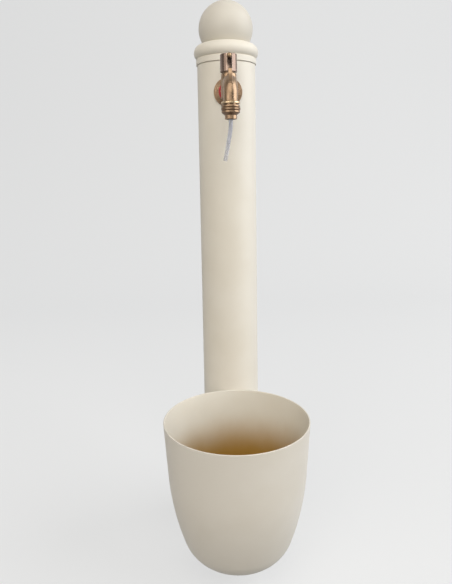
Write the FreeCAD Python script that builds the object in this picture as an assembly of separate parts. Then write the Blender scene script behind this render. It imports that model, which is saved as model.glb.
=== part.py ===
import FreeCAD, Part
import math
import os

# A column fountain: round post with a ball-topped cap, a quarter-turn tap on its front
# and a deep bowl at its foot. Millimetres. The origin is on the floor, on the post's axis.
# +Z is up and -Y is the front, where the tap and the bowl are.

# Small values used all over
overlap = 1.0                   # how far joined shapes and cuts run past each other
nut_face_inset = 0.3            # a nut's end face inside its flats
nut_chamfer_angle = 30.0

# Floor plate and post
base_thickness = 8.0
anchor_hole_radius = 5.5
anchor_count = 4
anchor_margin = 18.0            # post surface to anchor circle, and from there to the plate's edge
supply_hole_radius = 20.0
post_radius = 54.0
post_wall = 4.0
post_top = 900.0                # the post's end, where the cap starts

# Cap and ball
cap_skirt_depth = 25.0
cap_skirt_clearance = 0.3
cap_wall = 3.0
cap_joint_gap = 1.2             # open groove at the outside of the joint between cap and post
cap_band_projection = 1.8
cap_band_height = 11.2
cap_quirk_width = 0.7
cap_quirk_depth = 1.2
cap_bead_radius = 14.5
cap_bead_projection = 5.7
cap_crown_width = 4.0
ball_radius = 50.0
ball_wall = 2.5
ball_vent_radius = 4.0
set_screw_radius = 3.0
set_screw_length = 9.0
set_screw_key = 3.0             # across the flats of its socket, and its depth
set_screw_drop = 12.0           # below the post's end

# Bowl, drawn by its outer surface
bowl_floor_height = 44.0        # clear height under the bowl
bowl_rim_radius = 124.0
bowl_wall = 2.5
bowl_rim_round = 1.1
bowl_taper = 3.8                # degrees, of the straight upper wall
bowl_upper_height = 90.0
bowl_belly_radius = 444.0
bowl_belly_end = 19.3           # degrees from upright, where the belly meets the heel
bowl_heel_radius = 58.0
bowl_post_gap = 0.3

# Plates that carry the bowl
gusset_thickness = 5.0
gusset_spacing = 32.0
gusset_top_drop = 45.0          # below the bowl's rim
gusset_foot_rise = 16.0         # of the sloping foot above the bowl's underside, at its middle
gusset_foot_slope = 30.0        # how much higher the foot's line is at the post's axis

# Waste outlet of the bowl
drain_thread_radius = 16.6
drain_spigot_radius = 16.0      # plain end for a 32 mm waste pipe
drain_bore_radius = 13.0
drain_thread_spare = 2.0        # thread that shows below the locknut
drain_tail_length = 29.0        # below the bowl's underside
drain_hole_clearance = 0.4
drain_flange_radius = 26.0
drain_flange_height = 4.0
drain_flange_edge = 1.0         # its height at the rim, and the flat beside the strainer
drain_gasket_radius = 24.0
drain_gasket_thickness = 1.5
drain_washer_thickness = 2.0
drain_nut_flats = 41.0
drain_nut_height = 9.0
strainer_radius = 20.0
strainer_clearance = 0.2
strainer_thickness = 1.5
strainer_hole_radius = 2.0
strainer_rings = ((8.0, 6), (14.0, 12))   # circle radius and number of holes
strainer_screw_radius = 2.0
strainer_screw_length = 10.0
strainer_head_radius = 4.0
strainer_head_height = 2.0
strainer_head_edge = 1.2
drain_bar_width = 7.0
drain_bar_height = 5.0

# Water supply inside the post, in half-inch pipe
pipe_radius = 10.48
pipe_wall = 2.6
thread_clearance = 0.05
thread_core_radius = 9.32       # a half-inch inside thread at its crests
socket_radius = 14.0
inlet_height = 3.0              # the supply socket's mouth above the floor
inlet_thread_length = 16.0
pipe_grip = 13.0                # length of pipe held in a socket
grommet_flange = 4.0
grommet_thickness = 3.0
grommet_edge = 1.0
elbow_radius = 13.5
elbow_bend_radius = 16.0
elbow_bead_radius = 16.0
elbow_bead_height = 6.0
elbow_bore_radius = 7.5

# Tap: heights are from the inlet's axis, reaches are from the post's front
tap_drop = 54.5                 # the inlet's axis below the post's end
boss_projection = 2.0
boss_length = 34.0
rosette_radius = 25.5
rosette_reach = 7.0
rosette_hub_radius = 18.6
rosette_rim_reach = 2.0
rosette_steps = 3
rosette_back_gap = 0.3
rosette_edge = 0.6              # bevel of each step
rosette_groove = 0.5            # width and depth of the groove at each step's foot
washer_radius = 17.2
washer_thickness = 1.6
inlet_flats = 24.0
inlet_hex_length = 4.4
inlet_tail_length = 17.0
inlet_bore_radius = 6.5
valve_reach = 30.0
spout_reach = 79.0
barrel_radius = 12.4
barrel_bore_radius = 10.3
chamber_radius = 13.6
chamber_depth = 18.0            # the chamber's bottom below the inlet's axis
chamber_shoulder = 18.4         # the chamber's top above it, over the spout's root
chamber_heel_radius = 5.0
chamber_cove = 2.6
neck_radius = 13.2
neck_top = 26.0
neck_collar_radius = 9.4
neck_collar_height = 10.0
spout_radius = 12.1
spout_passage_radius = 5.5
spout_apex = 7.0                # the spout's highest centre above the inlet's axis
spout_bend_radius = 20.0
spout_end_drop = 27.0           # the spout's end below the inlet's axis
spout_spigot_radius = 11.0
spout_spigot_length = 12.0
casting_fillet = 1.6

# Bucket spur on the elbow
spur_thickness = 6.8
spur_height = 28.0              # its tip above the inlet's axis
spur_tip_reach = 74.0
spur_tip_radius = 2.2
spur_front_angle = 62.0         # degrees round the elbow from upright to the spur's front foot
spur_front_stand = 1.4          # how far its front foot stands off the elbow
spur_back_angle = 8.0           # degrees back from upright to its rear foot
spur_front_hollow = 1.4         # bow of its front edge
spur_back_swell = 2.3           # and of its back edge

# Valve
ball_valve_radius = 9.0
ball_bore_radius = 5.0
seat_clearance = 0.06
seat_thickness = 3.9
seat_bore_radius = 5.6
seat_lip = 0.6                  # how far the seat's lip reaches round the ball
seat_fit = 0.05
slot_width = 3.2
slot_depth = 3.0
tang_clearance = 0.1
stem_radius = 4.0
stem_clearance = 0.08
stem_shoulder_radius = 5.5
stem_shoulder_height = 3.4
drive_width = 5.6
drive_clearance = 0.05
drive_run_out = 1.0             # how far the square runs on below the knob
packing_height = 5.0
gland_radius = 6.4
gland_flats = 15.0
gland_hex_height = 5.0

# Knob and its lever pin
knob_radius = 14.6
knob_gap = 2.4                  # over the neck's shoulder
knob_collar_clearance = 0.4
knob_ceiling_gap = 1.0          # over the gland nut
knob_drive_depth = 5.8
knob_web = 3.5
knob_recess_depth = 6.7
knob_edge = 0.8
stop_radius = 12.3
stop_height = 5.5
stop_angle = 30.0
stop_play = 1.5                 # degrees left at each end of the quarter turn
quarter_turn = 90.0
handle_screw_radius = 2.0
handle_screw_grip = 7.0
handle_screw_tip_gap = 1.0      # free thread below its tip
handle_head_radius = 4.0
handle_head_height = 3.0
handle_head_edge = 0.5
handle_key_flats = 3.0
handle_key_depth = 1.8
recess_clearance = 0.8
pin_radius = 4.0
pin_reach = 29.0                # from the knob's axis to the pin's rounded end
pin_drop = 5.7                  # the pin's axis below the knob's top
pin_wall = 1.6                  # metal left between the recess and the pin's hole

# Nozzle and clear outlet tube
ring_radius = 15.4
ring_height = 3.7
ring_clearance = 0.3
ring_edge = 1.0                 # radius of its outer corners
nozzle_gap = 2.0                # open joint between the ring and the nozzle
nozzle_bead_radius = 15.3
nozzle_bead_height = 3.4
nozzle_bead_round = 1.4         # radius of the upper bead's top corner
nozzle_bead_lip = 0.5           # height of the lower bead's bottom bevel
nozzle_band_radius = 15.9       # gripping band between the beads
nozzle_band_height = 5.4
nozzle_groove = 0.6             # depth of the groove at each end of the band
nozzle_cone_radius = 14.9
nozzle_cone_height = 4.4
nozzle_end_radius = 10.0
nozzle_end_height = 5.9
nozzle_edge = 0.6
nozzle_bore_radius = 6.0
gasket_thickness = 1.5
bush_radius = 7.8
bush_length = 8.0
outlet_tube_radius = 3.5
outlet_tube_wall = 1.0
# Sideways, forward and down from the nozzle's mouth, point by point
outlet_tube_route = (
    (0.0, 0.0, 0.0),
    (0.0, 0.0, -10.0),
    (-1.9, 0.2, -24.0),
    (-4.8, 0.5, -38.5),
    (-7.2, 0.6, -53.0),
    (-10.4, 0.4, -68.0),
)
arc_share = 0.45                # of the shorter run beside a point, for the arc that rounds it


class Outline:
    """A closed outline in the half plane of radius and height, drawn edge by edge."""

    def __init__(self, radius, height):
        self.start = self.point = (radius, height)
        self.edges = []

    def vector(self, point):
        return FreeCAD.Vector(point[0], 0, point[1])

    def line(self, radius, height):
        target = (radius, height)
        self.edges.append(Part.LineSegment(self.vector(self.point), self.vector(target)).toShape())
        self.point = target
        return self

    def arc(self, centre_radius, centre_height, turn):
        """Turn the pen about a centre, by degrees, counter-clockwise when positive."""
        offset_r = self.point[0] - centre_radius
        offset_h = self.point[1] - centre_height
        points = []
        for angle in (math.radians(turn / 2), math.radians(turn)):
            radius = centre_radius + offset_r * math.cos(angle) - offset_h * math.sin(angle)
            height = centre_height + offset_r * math.sin(angle) + offset_h * math.cos(angle)
            points.append((radius, height))
        middle, target = points
        arc = Part.Arc(self.vector(self.point), self.vector(middle), self.vector(target))
        self.edges.append(arc.toShape())
        self.point = target
        return self

    def turned(self):
        """The solid of revolution about the vertical axis."""
        if math.dist(self.point, self.start) > 1e-6:
            self.line(*self.start)
        face = Part.Face(Part.Wire(self.edges))
        return face.revolve(FreeCAD.Vector(0, 0, 0), FreeCAD.Vector(0, 0, 1), 360)

    def plate(self, thickness):
        """A plate of this outline, centred on the plane of radius and height."""
        if math.dist(self.point, self.start) > 1e-6:
            self.line(*self.start)
        face = Part.Face(Part.Wire(self.edges))
        face.translate(FreeCAD.Vector(0, -thickness / 2, 0))
        return face.extrude(FreeCAD.Vector(0, thickness, 0))


def cylinder(radius, bottom, top):
    return Part.makeCylinder(radius, top - bottom, FreeCAD.Vector(0, 0, bottom))


def pipe(outer, inner, bottom, top):
    return cylinder(outer, bottom, top).cut(cylinder(inner, bottom, top))


def hexagon(flats, bottom, top):
    """A hexagonal prism with a flat to the front."""
    corner = flats / math.sqrt(3)
    angles = [math.radians(60 * i) for i in range(7)]
    points = [FreeCAD.Vector(corner * math.cos(a), corner * math.sin(a), bottom) for a in angles]
    return Part.Face(Part.makePolygon(points)).extrude(FreeCAD.Vector(0, 0, top - bottom))


def hex_nut(flats, bottom, top, chamfer_bottom, chamfer_top):
    """A hexagon whose corners are turned off at its ends."""
    face = flats / 2 - nut_face_inset
    beyond = flats / math.sqrt(3) + nut_face_inset
    rise = (beyond - face) * math.tan(math.radians(nut_chamfer_angle))
    outline = Outline(0, bottom)
    if chamfer_bottom:
        outline.line(face, bottom)
        outline.line(beyond, bottom + rise)
    else:
        outline.line(beyond, bottom)
    if chamfer_top:
        outline.line(beyond, top - rise)
        outline.line(face, top)
    else:
        outline.line(beyond, top)
    outline.line(0, top)
    return hexagon(flats, bottom, top).common(outline.turned())


def moved(shape, x=0.0, y=0.0, z=0.0):
    copy = shape.copy()
    copy.translate(FreeCAD.Vector(x, y, z))
    return copy


def forward(shape):
    """Turn a piece drawn about the vertical axis so that its heights become reaches."""
    copy = shape.copy()
    copy.rotate(FreeCAD.Vector(0, 0, 0), FreeCAD.Vector(1, 0, 0), 90)
    return moved(copy, y=-post_radius, z=tap_height)


def at_valve(shape):
    return moved(shape, y=-(post_radius + valve_reach), z=tap_height)


def at_spout(shape):
    return moved(shape, y=-(post_radius + spout_reach), z=tap_height)


def at_bowl(shape):
    return moved(shape, y=-bowl_reach, z=bowl_floor_height)


def fused(first, *others):
    return first.fuse(list(others)).removeSplitter()


def save(node, shape):
    solids = shape.Solids
    shape = solids[0] if len(solids) == 1 else Part.makeCompound(solids)
    shape.exportStep("parts/" + node + ".step")


def rod(path, radius):
    """A round bar along a wire that starts at its first vertex."""
    first = path.Edges[0]
    start = first.valueAt(first.FirstParameter)
    direction = first.tangentAt(first.FirstParameter)
    ring = Part.Wire(Part.makeCircle(radius, start, direction))
    return Part.Wire(path).makePipeShell([ring], True, False)


# Sizes that follow from the driving ones
anchor_circle_radius = post_radius + anchor_margin
base_radius = anchor_circle_radius + anchor_margin
post_inner_radius = post_radius - post_wall
tap_height = post_top - tap_drop
bowl_reach = post_radius + bowl_post_gap + bowl_rim_radius


def make_base():
    plate = cylinder(base_radius, 0, base_thickness)
    plate = plate.cut(cylinder(supply_hole_radius, 0, base_thickness))
    for i in range(anchor_count):
        angle = math.radians(360 / anchor_count * (i + 0.5))
        hole = cylinder(anchor_hole_radius, 0, base_thickness)
        x = anchor_circle_radius * math.cos(angle)
        y = anchor_circle_radius * math.sin(angle)
        plate = plate.cut(moved(hole, x, y))
    save("base_flange", plate)


def set_screw_bore(radius, start, end):
    """A round bar at the back of the post, from one distance from its axis to another."""
    bar = cylinder(radius, start, end)
    bar.rotate(FreeCAD.Vector(0, 0, 0), FreeCAD.Vector(1, 0, 0), -90)
    return moved(bar, z=post_top - set_screw_drop)


def make_post():
    tube = pipe(post_radius, post_inner_radius, base_thickness, post_top)
    tube = tube.cut(forward(cylinder(socket_radius, -post_radius, post_wall)))
    tube = tube.cut(set_screw_bore(set_screw_radius, 0, post_radius + post_wall))
    save("post_tube", tube)


def cap_bead_centre():
    radius = post_radius + cap_bead_projection - cap_bead_radius
    foot = cap_band_height + cap_quirk_width
    inset = post_radius + cap_band_projection - cap_quirk_depth - radius
    rise = math.sqrt(cap_bead_radius ** 2 - inset ** 2)
    return radius, foot + rise, rise


def make_cap():
    skirt_radius = post_inner_radius - cap_skirt_clearance
    skirt_bore = skirt_radius - cap_wall
    band_radius = post_radius + cap_band_projection
    quirk_radius = band_radius - cap_quirk_depth
    bead_r, bead_z, rise = cap_bead_centre()
    crown_z = bead_z + cap_bead_radius
    lower_turn = math.degrees(math.asin(rise / cap_bead_radius))
    inner_bead = cap_bead_radius - cap_wall
    inner_turn = math.degrees(math.acos((skirt_bore - bead_r) / inner_bead))
    crown_inner = bead_r - cap_crown_width

    cap = Outline(skirt_bore, -cap_skirt_depth)
    cap.line(skirt_radius, -cap_skirt_depth)
    cap.line(skirt_radius, 0)
    cap.line(post_radius - cap_joint_gap, 0)
    cap.line(band_radius, cap_joint_gap)
    cap.line(band_radius, cap_band_height)
    cap.line(quirk_radius, cap_band_height)
    cap.line(quirk_radius, cap_band_height + cap_quirk_width)
    cap.arc(bead_r, bead_z, lower_turn + 90)
    cap.line(crown_inner, crown_z)
    cap.line(crown_inner - cap_wall, crown_z - cap_wall)
    cap.line(bead_r, crown_z - cap_wall)
    cap.arc(bead_r, bead_z, -90 - inner_turn)
    collar = moved(cap.turned(), z=post_top)

    seat = math.sqrt(ball_radius ** 2 - crown_inner ** 2)
    ball_height = post_top + crown_z + seat
    ball = Part.makeSphere(ball_radius)
    collar = collar.cut(moved(ball, z=ball_height))
    collar = collar.cut(set_screw_bore(set_screw_radius, 0, post_radius))
    save("cap_collar", collar)

    hollow = Part.makeSphere(ball_radius - ball_wall)
    vent = cylinder(ball_vent_radius, -ball_radius, 0)
    save("ball_finial", moved(ball.cut(hollow).cut(vent), z=ball_height))

    screw = set_screw_bore(set_screw_radius, post_radius - set_screw_length, post_radius)
    socket = hexagon(set_screw_key, post_radius - set_screw_key, post_radius)
    socket.rotate(FreeCAD.Vector(0, 0, 0), FreeCAD.Vector(1, 0, 0), -90)
    save("cap_set_screw", screw.cut(moved(socket, z=post_top - set_screw_drop)))


def bowl_sizes():
    """Where the bowl's arcs lie, with heights from its underside."""
    taper = math.radians(bowl_taper)
    end = math.radians(bowl_belly_end)
    upper_r = bowl_rim_radius - bowl_upper_height * math.tan(taper)
    belly_drop = bowl_belly_radius * (math.sin(end) - math.sin(taper))
    heel_drop = bowl_heel_radius * (1 - math.sin(end))
    depth = bowl_upper_height + belly_drop + heel_drop
    belly_centre = (
        upper_r - bowl_belly_radius * math.cos(taper),
        depth - bowl_upper_height + bowl_belly_radius * math.sin(taper),
    )
    belly_end_r = belly_centre[0] + bowl_belly_radius * math.cos(end)
    floor_radius = belly_end_r - bowl_heel_radius * math.cos(end)
    return depth, belly_centre, floor_radius


def bowl_solid(inset, top):
    """The bowl filled up to a height, drawn a wall's inset inside its outer surface."""
    depth, belly, floor_radius = bowl_sizes()
    taper = math.radians(bowl_taper)
    wall = inset / math.cos(taper)
    rim_r = bowl_rim_radius - wall - (top - depth) * math.tan(-taper)
    solid = Outline(0, inset)
    solid.line(floor_radius, inset)
    solid.arc(floor_radius, bowl_heel_radius, 90 - bowl_belly_end)
    solid.arc(belly[0], belly[1], bowl_belly_end - bowl_taper)
    solid.line(rim_r, top)
    solid.line(0, top)
    return solid.turned()


def make_bowl():
    depth = bowl_sizes()[0]
    bowl = bowl_solid(0, depth).cut(bowl_solid(bowl_wall, depth + overlap))
    rim = [e for e in bowl.Edges if abs(e.BoundBox.ZMin - depth) < 0.01]
    bowl = bowl.makeFillet(min(bowl_rim_round, 0.45 * bowl_wall), rim)
    hole = drain_thread_radius + drain_hole_clearance
    save("bowl", at_bowl(bowl.cut(cylinder(hole, 0, bowl_wall))))


def make_gussets():
    depth = bowl_sizes()[0]
    foot = bowl_floor_height + gusset_foot_rise
    top = bowl_floor_height + depth - gusset_top_drop
    plate = Outline(0, top)
    plate.line(0, foot + gusset_foot_slope)
    plate.line(bowl_reach, foot)
    plate.line(bowl_reach, top)
    blank = plate.plate(gusset_thickness)
    blank.rotate(FreeCAD.Vector(0, 0, 0), FreeCAD.Vector(0, 0, 1), -90)
    post = cylinder(post_radius, 0, post_top)
    bowl = at_bowl(bowl_solid(0, depth))
    for node, side in (("bowl_gusset_left", -1), ("bowl_gusset_right", 1)):
        gusset = moved(blank, x=side * gusset_spacing / 2).cut(post).cut(bowl)
        save(node, gusset)


def make_drain():
    floor = bowl_wall
    flange_seat = floor + drain_gasket_thickness
    flange_top = flange_seat + drain_flange_height
    outlet = -drain_tail_length
    thread_foot = -drain_washer_thickness - drain_nut_height - drain_thread_spare
    hole = drain_thread_radius + drain_hole_clearance
    save("drain_gasket", at_bowl(pipe(drain_gasket_radius, hole, floor, flange_seat)))
    save("drain_washer", at_bowl(pipe(drain_gasket_radius, hole, -drain_washer_thickness, 0)))

    recess = flange_top - strainer_thickness
    recess_radius = strainer_radius + strainer_clearance
    bar_bottom = recess - drain_bar_height
    body = Outline(drain_bore_radius, outlet)
    body.line(drain_spigot_radius, outlet)
    body.line(drain_spigot_radius, thread_foot)
    body.line(drain_thread_radius, thread_foot)
    body.line(drain_thread_radius, flange_seat)
    body.line(drain_flange_radius, flange_seat)
    body.line(drain_flange_radius, flange_seat + drain_flange_edge)
    body.line(recess_radius + drain_flange_edge, flange_top)
    body.line(recess_radius, flange_top)
    body.line(recess_radius, recess)
    body.line(drain_bore_radius, recess)
    bar_reach = drain_bore_radius + overlap
    bar = Part.makeBox(
        2 * bar_reach, drain_bar_width, drain_bar_height,
        FreeCAD.Vector(-bar_reach, -drain_bar_width / 2, bar_bottom),
    )
    body = fused(body.turned(), bar)
    tapping = cylinder(strainer_screw_radius, bar_bottom, flange_top)
    save("drain_body", at_bowl(body.cut(tapping)))

    strainer = cylinder(strainer_radius, recess, flange_top).cut(tapping)
    for ring, count in strainer_rings:
        for i in range(count):
            angle = 2 * math.pi * i / count
            hole = cylinder(strainer_hole_radius, recess, flange_top)
            strainer = strainer.cut(moved(hole, ring * math.cos(angle), ring * math.sin(angle)))
    save("drain_strainer", at_bowl(strainer))

    head = Outline(0, flange_top)
    head.line(strainer_head_radius, flange_top)
    head.line(strainer_head_radius, flange_top + strainer_head_height - strainer_head_edge)
    head.line(strainer_head_radius - strainer_head_edge, flange_top + strainer_head_height)
    head.line(0, flange_top + strainer_head_height)
    shank = cylinder(strainer_screw_radius, flange_top - strainer_screw_length, flange_top)
    save("strainer_screw", at_bowl(fused(head.turned(), shank)))

    nut_top = -drain_washer_thickness
    nut = hex_nut(drain_nut_flats, nut_top - drain_nut_height, nut_top, True, False)
    bore = cylinder(drain_thread_radius + thread_clearance, nut_top - drain_nut_height, nut_top)
    save("drain_locknut", at_bowl(nut.cut(bore)))


def make_supply():
    pipe_socket = pipe_radius + thread_clearance
    thread_top = inlet_height + inlet_thread_length
    coupling_top = thread_top + pipe_grip
    coupling = cylinder(socket_radius, inlet_height, coupling_top)
    coupling = coupling.cut(cylinder(thread_core_radius, inlet_height, thread_top))
    coupling = coupling.cut(cylinder(pipe_socket, thread_top, coupling_top))
    save("inlet_coupling", coupling)

    flange_top = base_thickness + grommet_thickness
    grommet = Outline(socket_radius, inlet_height)
    grommet.line(supply_hole_radius, inlet_height)
    grommet.line(supply_hole_radius, base_thickness)
    grommet.line(supply_hole_radius + grommet_flange, base_thickness)
    grommet.line(supply_hole_radius + grommet_flange, flange_top - grommet_edge)
    grommet.line(supply_hole_radius + grommet_flange - grommet_edge, flange_top)
    grommet.line(socket_radius, flange_top)
    save("riser_grommet", grommet.turned())

    elbow_foot = tap_height - elbow_bend_radius - pipe_grip
    riser_top = elbow_foot + pipe_grip
    riser = pipe(pipe_radius, pipe_radius - pipe_wall, thread_top, riser_top)
    save("riser_pipe", riser)

    boss_back = boss_projection - boss_length
    nipple_tip = boss_back + pipe_grip
    body = rod(elbow_path(boss_back, elbow_foot), elbow_radius)
    bead = cylinder(elbow_bead_radius, elbow_foot, elbow_foot + elbow_bead_height)
    nipple = forward(cylinder(pipe_radius, boss_back - overlap, nipple_tip))
    body = fused(body, bead, nipple).cut(rod(elbow_path(nipple_tip, elbow_foot), elbow_bore_radius))
    save("riser_elbow", body.cut(cylinder(pipe_socket, elbow_foot, riser_top)))

    boss = pipe(socket_radius, pipe_socket, boss_projection - boss_length, boss_projection)
    save("tap_boss", forward(boss))


def elbow_path(start_reach, foot):
    """The supply's centre line from a reach behind the post's front to a height in the post."""
    bend = elbow_bend_radius
    half = math.radians(45)
    corner = FreeCAD.Vector(0, -bend, tap_height)
    middle = FreeCAD.Vector(0, bend * (math.cos(half) - 1), tap_height + bend * (math.sin(half) - 1))
    bottom = FreeCAD.Vector(0, 0, tap_height - bend)
    mouth = FreeCAD.Vector(0, -post_radius - start_reach, tap_height)
    arc = Part.Arc(corner, middle, bottom).toShape()
    drop = Part.makeLine(bottom, FreeCAD.Vector(0, 0, foot))
    return Part.Wire([Part.makeLine(mouth, corner), arc, drop])


def make_rosette():
    ring_width = (rosette_radius - rosette_hub_radius) / rosette_steps
    rise = (rosette_reach - rosette_rim_reach) / rosette_steps
    rosette = Outline(0, -post_radius)
    rosette.line(rosette_radius, -post_radius)
    radius = rosette_radius
    reach = rosette_rim_reach
    rosette.line(radius, reach - rosette_edge)
    rosette.line(radius - rosette_edge, reach)
    for step in range(rosette_steps):
        radius -= ring_width
        rosette.line(radius + rosette_groove, reach)
        rosette.line(radius + rosette_groove, reach - rosette_groove)
        rosette.line(radius, reach - rosette_groove)
        reach += rise
        rosette.line(radius, reach - rosette_edge)
        rosette.line(radius - rosette_edge, reach)
    rosette.line(0, reach)
    cover = forward(rosette.turned())
    cover = cover.cut(cylinder(post_radius + rosette_back_gap, 0, post_top))
    boss = cylinder(socket_radius + thread_clearance, -post_radius, boss_projection)
    tail = cylinder(pipe_radius + thread_clearance, -post_radius, rosette_reach)
    save("tap_rosette", cover.cut(forward(boss)).cut(forward(tail)))

    washer_top = rosette_reach + washer_thickness
    tail_hole = pipe_radius + thread_clearance
    save("tap_washer", forward(pipe(washer_radius, tail_hole, rosette_reach, washer_top)))


def inlet_reaches():
    """Reaches of the inlet hexagon's back and front, and of the rear seat's back."""
    back = rosette_reach + washer_thickness
    front = back + inlet_hex_length
    seat_back = valve_reach - seat_near() - seat_thickness
    return back, front, seat_back


def seat_near():
    """Distance from the valve ball's centre to a seat's near face."""
    reach = ball_valve_radius + seat_clearance
    return math.sqrt(reach ** 2 - seat_bore_radius ** 2) - seat_lip


def make_inlet():
    back, front, seat_back = inlet_reaches()
    body = hex_nut(inlet_flats, back, front, True, True)
    tail = cylinder(pipe_radius, back - inlet_tail_length, back)
    spigot = cylinder(barrel_bore_radius - seat_fit, front, seat_back)
    body = fused(body, tail, spigot)
    bore = cylinder(inlet_bore_radius, back - inlet_tail_length, seat_back)
    save("tap_inlet", forward(body.cut(bore)))


def spout_path(length_below):
    """The spout's centre line from the valve's centre: a rising run, a bend and a drop."""
    run = spout_reach - valve_reach
    centre_y = run - spout_bend_radius
    centre_z = spout_apex - spout_bend_radius
    distance = math.hypot(centre_y, centre_z)
    slope = math.asin(spout_bend_radius / distance) + math.atan2(centre_z, centre_y)
    tangent = FreeCAD.Vector(
        0,
        -(centre_y - spout_bend_radius * math.sin(slope)),
        centre_z + spout_bend_radius * math.cos(slope),
    )
    middle_angle = (math.pi / 2 + slope) / 2
    middle = FreeCAD.Vector(
        0,
        -(centre_y + spout_bend_radius * math.cos(middle_angle)),
        centre_z + spout_bend_radius * math.sin(middle_angle),
    )
    drop = FreeCAD.Vector(0, -run, centre_z)
    end = FreeCAD.Vector(0, -run, -length_below)
    rising = Part.makeLine(FreeCAD.Vector(0, 0, 0), tangent)
    bend = Part.Arc(tangent, middle, drop).toShape()
    return Part.Wire([rising, bend, Part.makeLine(drop, end)])


def spur_blade():
    """The bucket spur: a curved fin that stands on the elbow, in the plane of the spout."""
    run = spout_reach - valve_reach
    centre_y = run - spout_bend_radius
    centre_z = spout_apex - spout_bend_radius
    crest = spout_bend_radius + spout_radius

    def from_bend(angle, radius):
        turn = math.radians(angle)
        return FreeCAD.Vector(0, -(centre_y + radius * math.sin(turn)), centre_z + radius * math.cos(turn))

    front = from_bend(spur_front_angle, crest + spur_front_stand)
    front_root = from_bend(spur_front_angle, crest - overlap)
    back = from_bend(-spur_back_angle, crest - overlap)
    tip_y = -(spur_tip_reach - valve_reach)
    tip = FreeCAD.Vector(0, tip_y, spur_height)
    tip_front = FreeCAD.Vector(0, tip_y - spur_tip_radius, spur_height - spur_tip_radius)
    tip_back = FreeCAD.Vector(0, tip_y + spur_tip_radius, spur_height - spur_tip_radius)
    front_middle = (front + tip_front) / 2 + FreeCAD.Vector(0, spur_front_hollow, 0)
    back_middle = (back + tip_back) / 2 - FreeCAD.Vector(0, spur_back_swell, 0)
    outline = Part.Wire([
        Part.Arc(front, front_middle, tip_front).toShape(),
        Part.Arc(tip_front, tip, tip_back).toShape(),
        Part.Arc(tip_back, back_middle, back).toShape(),
        Part.makeLine(back, front_root),
        Part.makeLine(front_root, front),
    ])
    face = Part.Face(outline)
    face.translate(FreeCAD.Vector(-spur_thickness / 2, 0, 0))
    return face.extrude(FreeCAD.Vector(spur_thickness, 0, 0))


def make_body():
    centre = valve_reach
    front = inlet_reaches()[1]
    chamber = Outline(0, -chamber_depth)
    chamber.line(chamber_radius - chamber_heel_radius, -chamber_depth)
    chamber.arc(chamber_radius - chamber_heel_radius, chamber_heel_radius - chamber_depth, 90)
    chamber.line(chamber_radius, chamber_shoulder)
    chamber.line(neck_radius, chamber_shoulder + chamber_cove)
    chamber.line(neck_radius, neck_top)
    chamber.line(neck_collar_radius, neck_top)
    chamber.line(neck_collar_radius, neck_top + neck_collar_height)
    chamber.line(0, neck_top + neck_collar_height)
    barrel = cylinder(barrel_radius, front - centre, 0)
    barrel.rotate(FreeCAD.Vector(0, 0, 0), FreeCAD.Vector(1, 0, 0), 90)
    spout = rod(spout_path(spout_end_drop), spout_radius)
    casting = fused(chamber.turned(), barrel, spout)
    seams = [e for e in casting.Edges if e.Curve.TypeId == "Part::GeomBSplineCurve"]
    casting = casting.makeFillet(casting_fillet, seams)

    spigot_foot = -spout_end_drop - spout_spigot_length
    spigot = moved(cylinder(spout_spigot_radius, spigot_foot, -spout_end_drop), y=centre - spout_reach)
    stop = stop_sector(neck_collar_radius - overlap, stop_radius, neck_top, neck_top + stop_height,
                       90 - stop_angle / 2, stop_angle)
    casting = fused(casting, spur_blade(), spigot, stop)

    seat_front = seat_near() + seat_thickness
    bore = cylinder(barrel_bore_radius, front - centre, seat_front)
    bore.rotate(FreeCAD.Vector(0, 0, 0), FreeCAD.Vector(1, 0, 0), 90)
    stem_bore = cylinder(stem_radius + stem_clearance, 0, neck_top + neck_collar_height)
    shoulder_bore = cylinder(stem_shoulder_radius + stem_clearance, 0, stem_shoulder_top() + stem_clearance)
    gland_bore = cylinder(gland_radius + thread_clearance, neck_top, neck_top + neck_collar_height)
    passage = rod(spout_path(-spigot_foot), spout_passage_radius)
    for cavity in (bore, stem_bore, shoulder_bore, gland_bore, passage):
        casting = casting.cut(cavity)
    save("tap_body", at_valve(casting))


def stop_sector(inner, outer, bottom, top, start, sweep):
    """Part of a ring about the valve's axis, from a start angle through a sweep, in degrees."""
    up = FreeCAD.Vector(0, 0, 1)
    foot = FreeCAD.Vector(0, 0, bottom)
    solid = Part.makeCylinder(outer, top - bottom, foot, up, sweep)
    solid.rotate(FreeCAD.Vector(0, 0, 0), up, start)
    return solid.cut(cylinder(inner, bottom, top))


def tang_foot():
    return ball_valve_radius - slot_depth + tang_clearance


def stem_shoulder_top():
    return barrel_bore_radius + stem_shoulder_height


def knob_heights():
    """Heights of the knob's foot, ceiling, stem top, recess floor and top."""
    foot = neck_top + knob_gap
    ceiling = neck_top + neck_collar_height + gland_hex_height + knob_ceiling_gap
    stem_top = ceiling + knob_drive_depth
    recess = stem_top + knob_web
    return foot, ceiling, stem_top, recess, recess + knob_recess_depth


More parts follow.
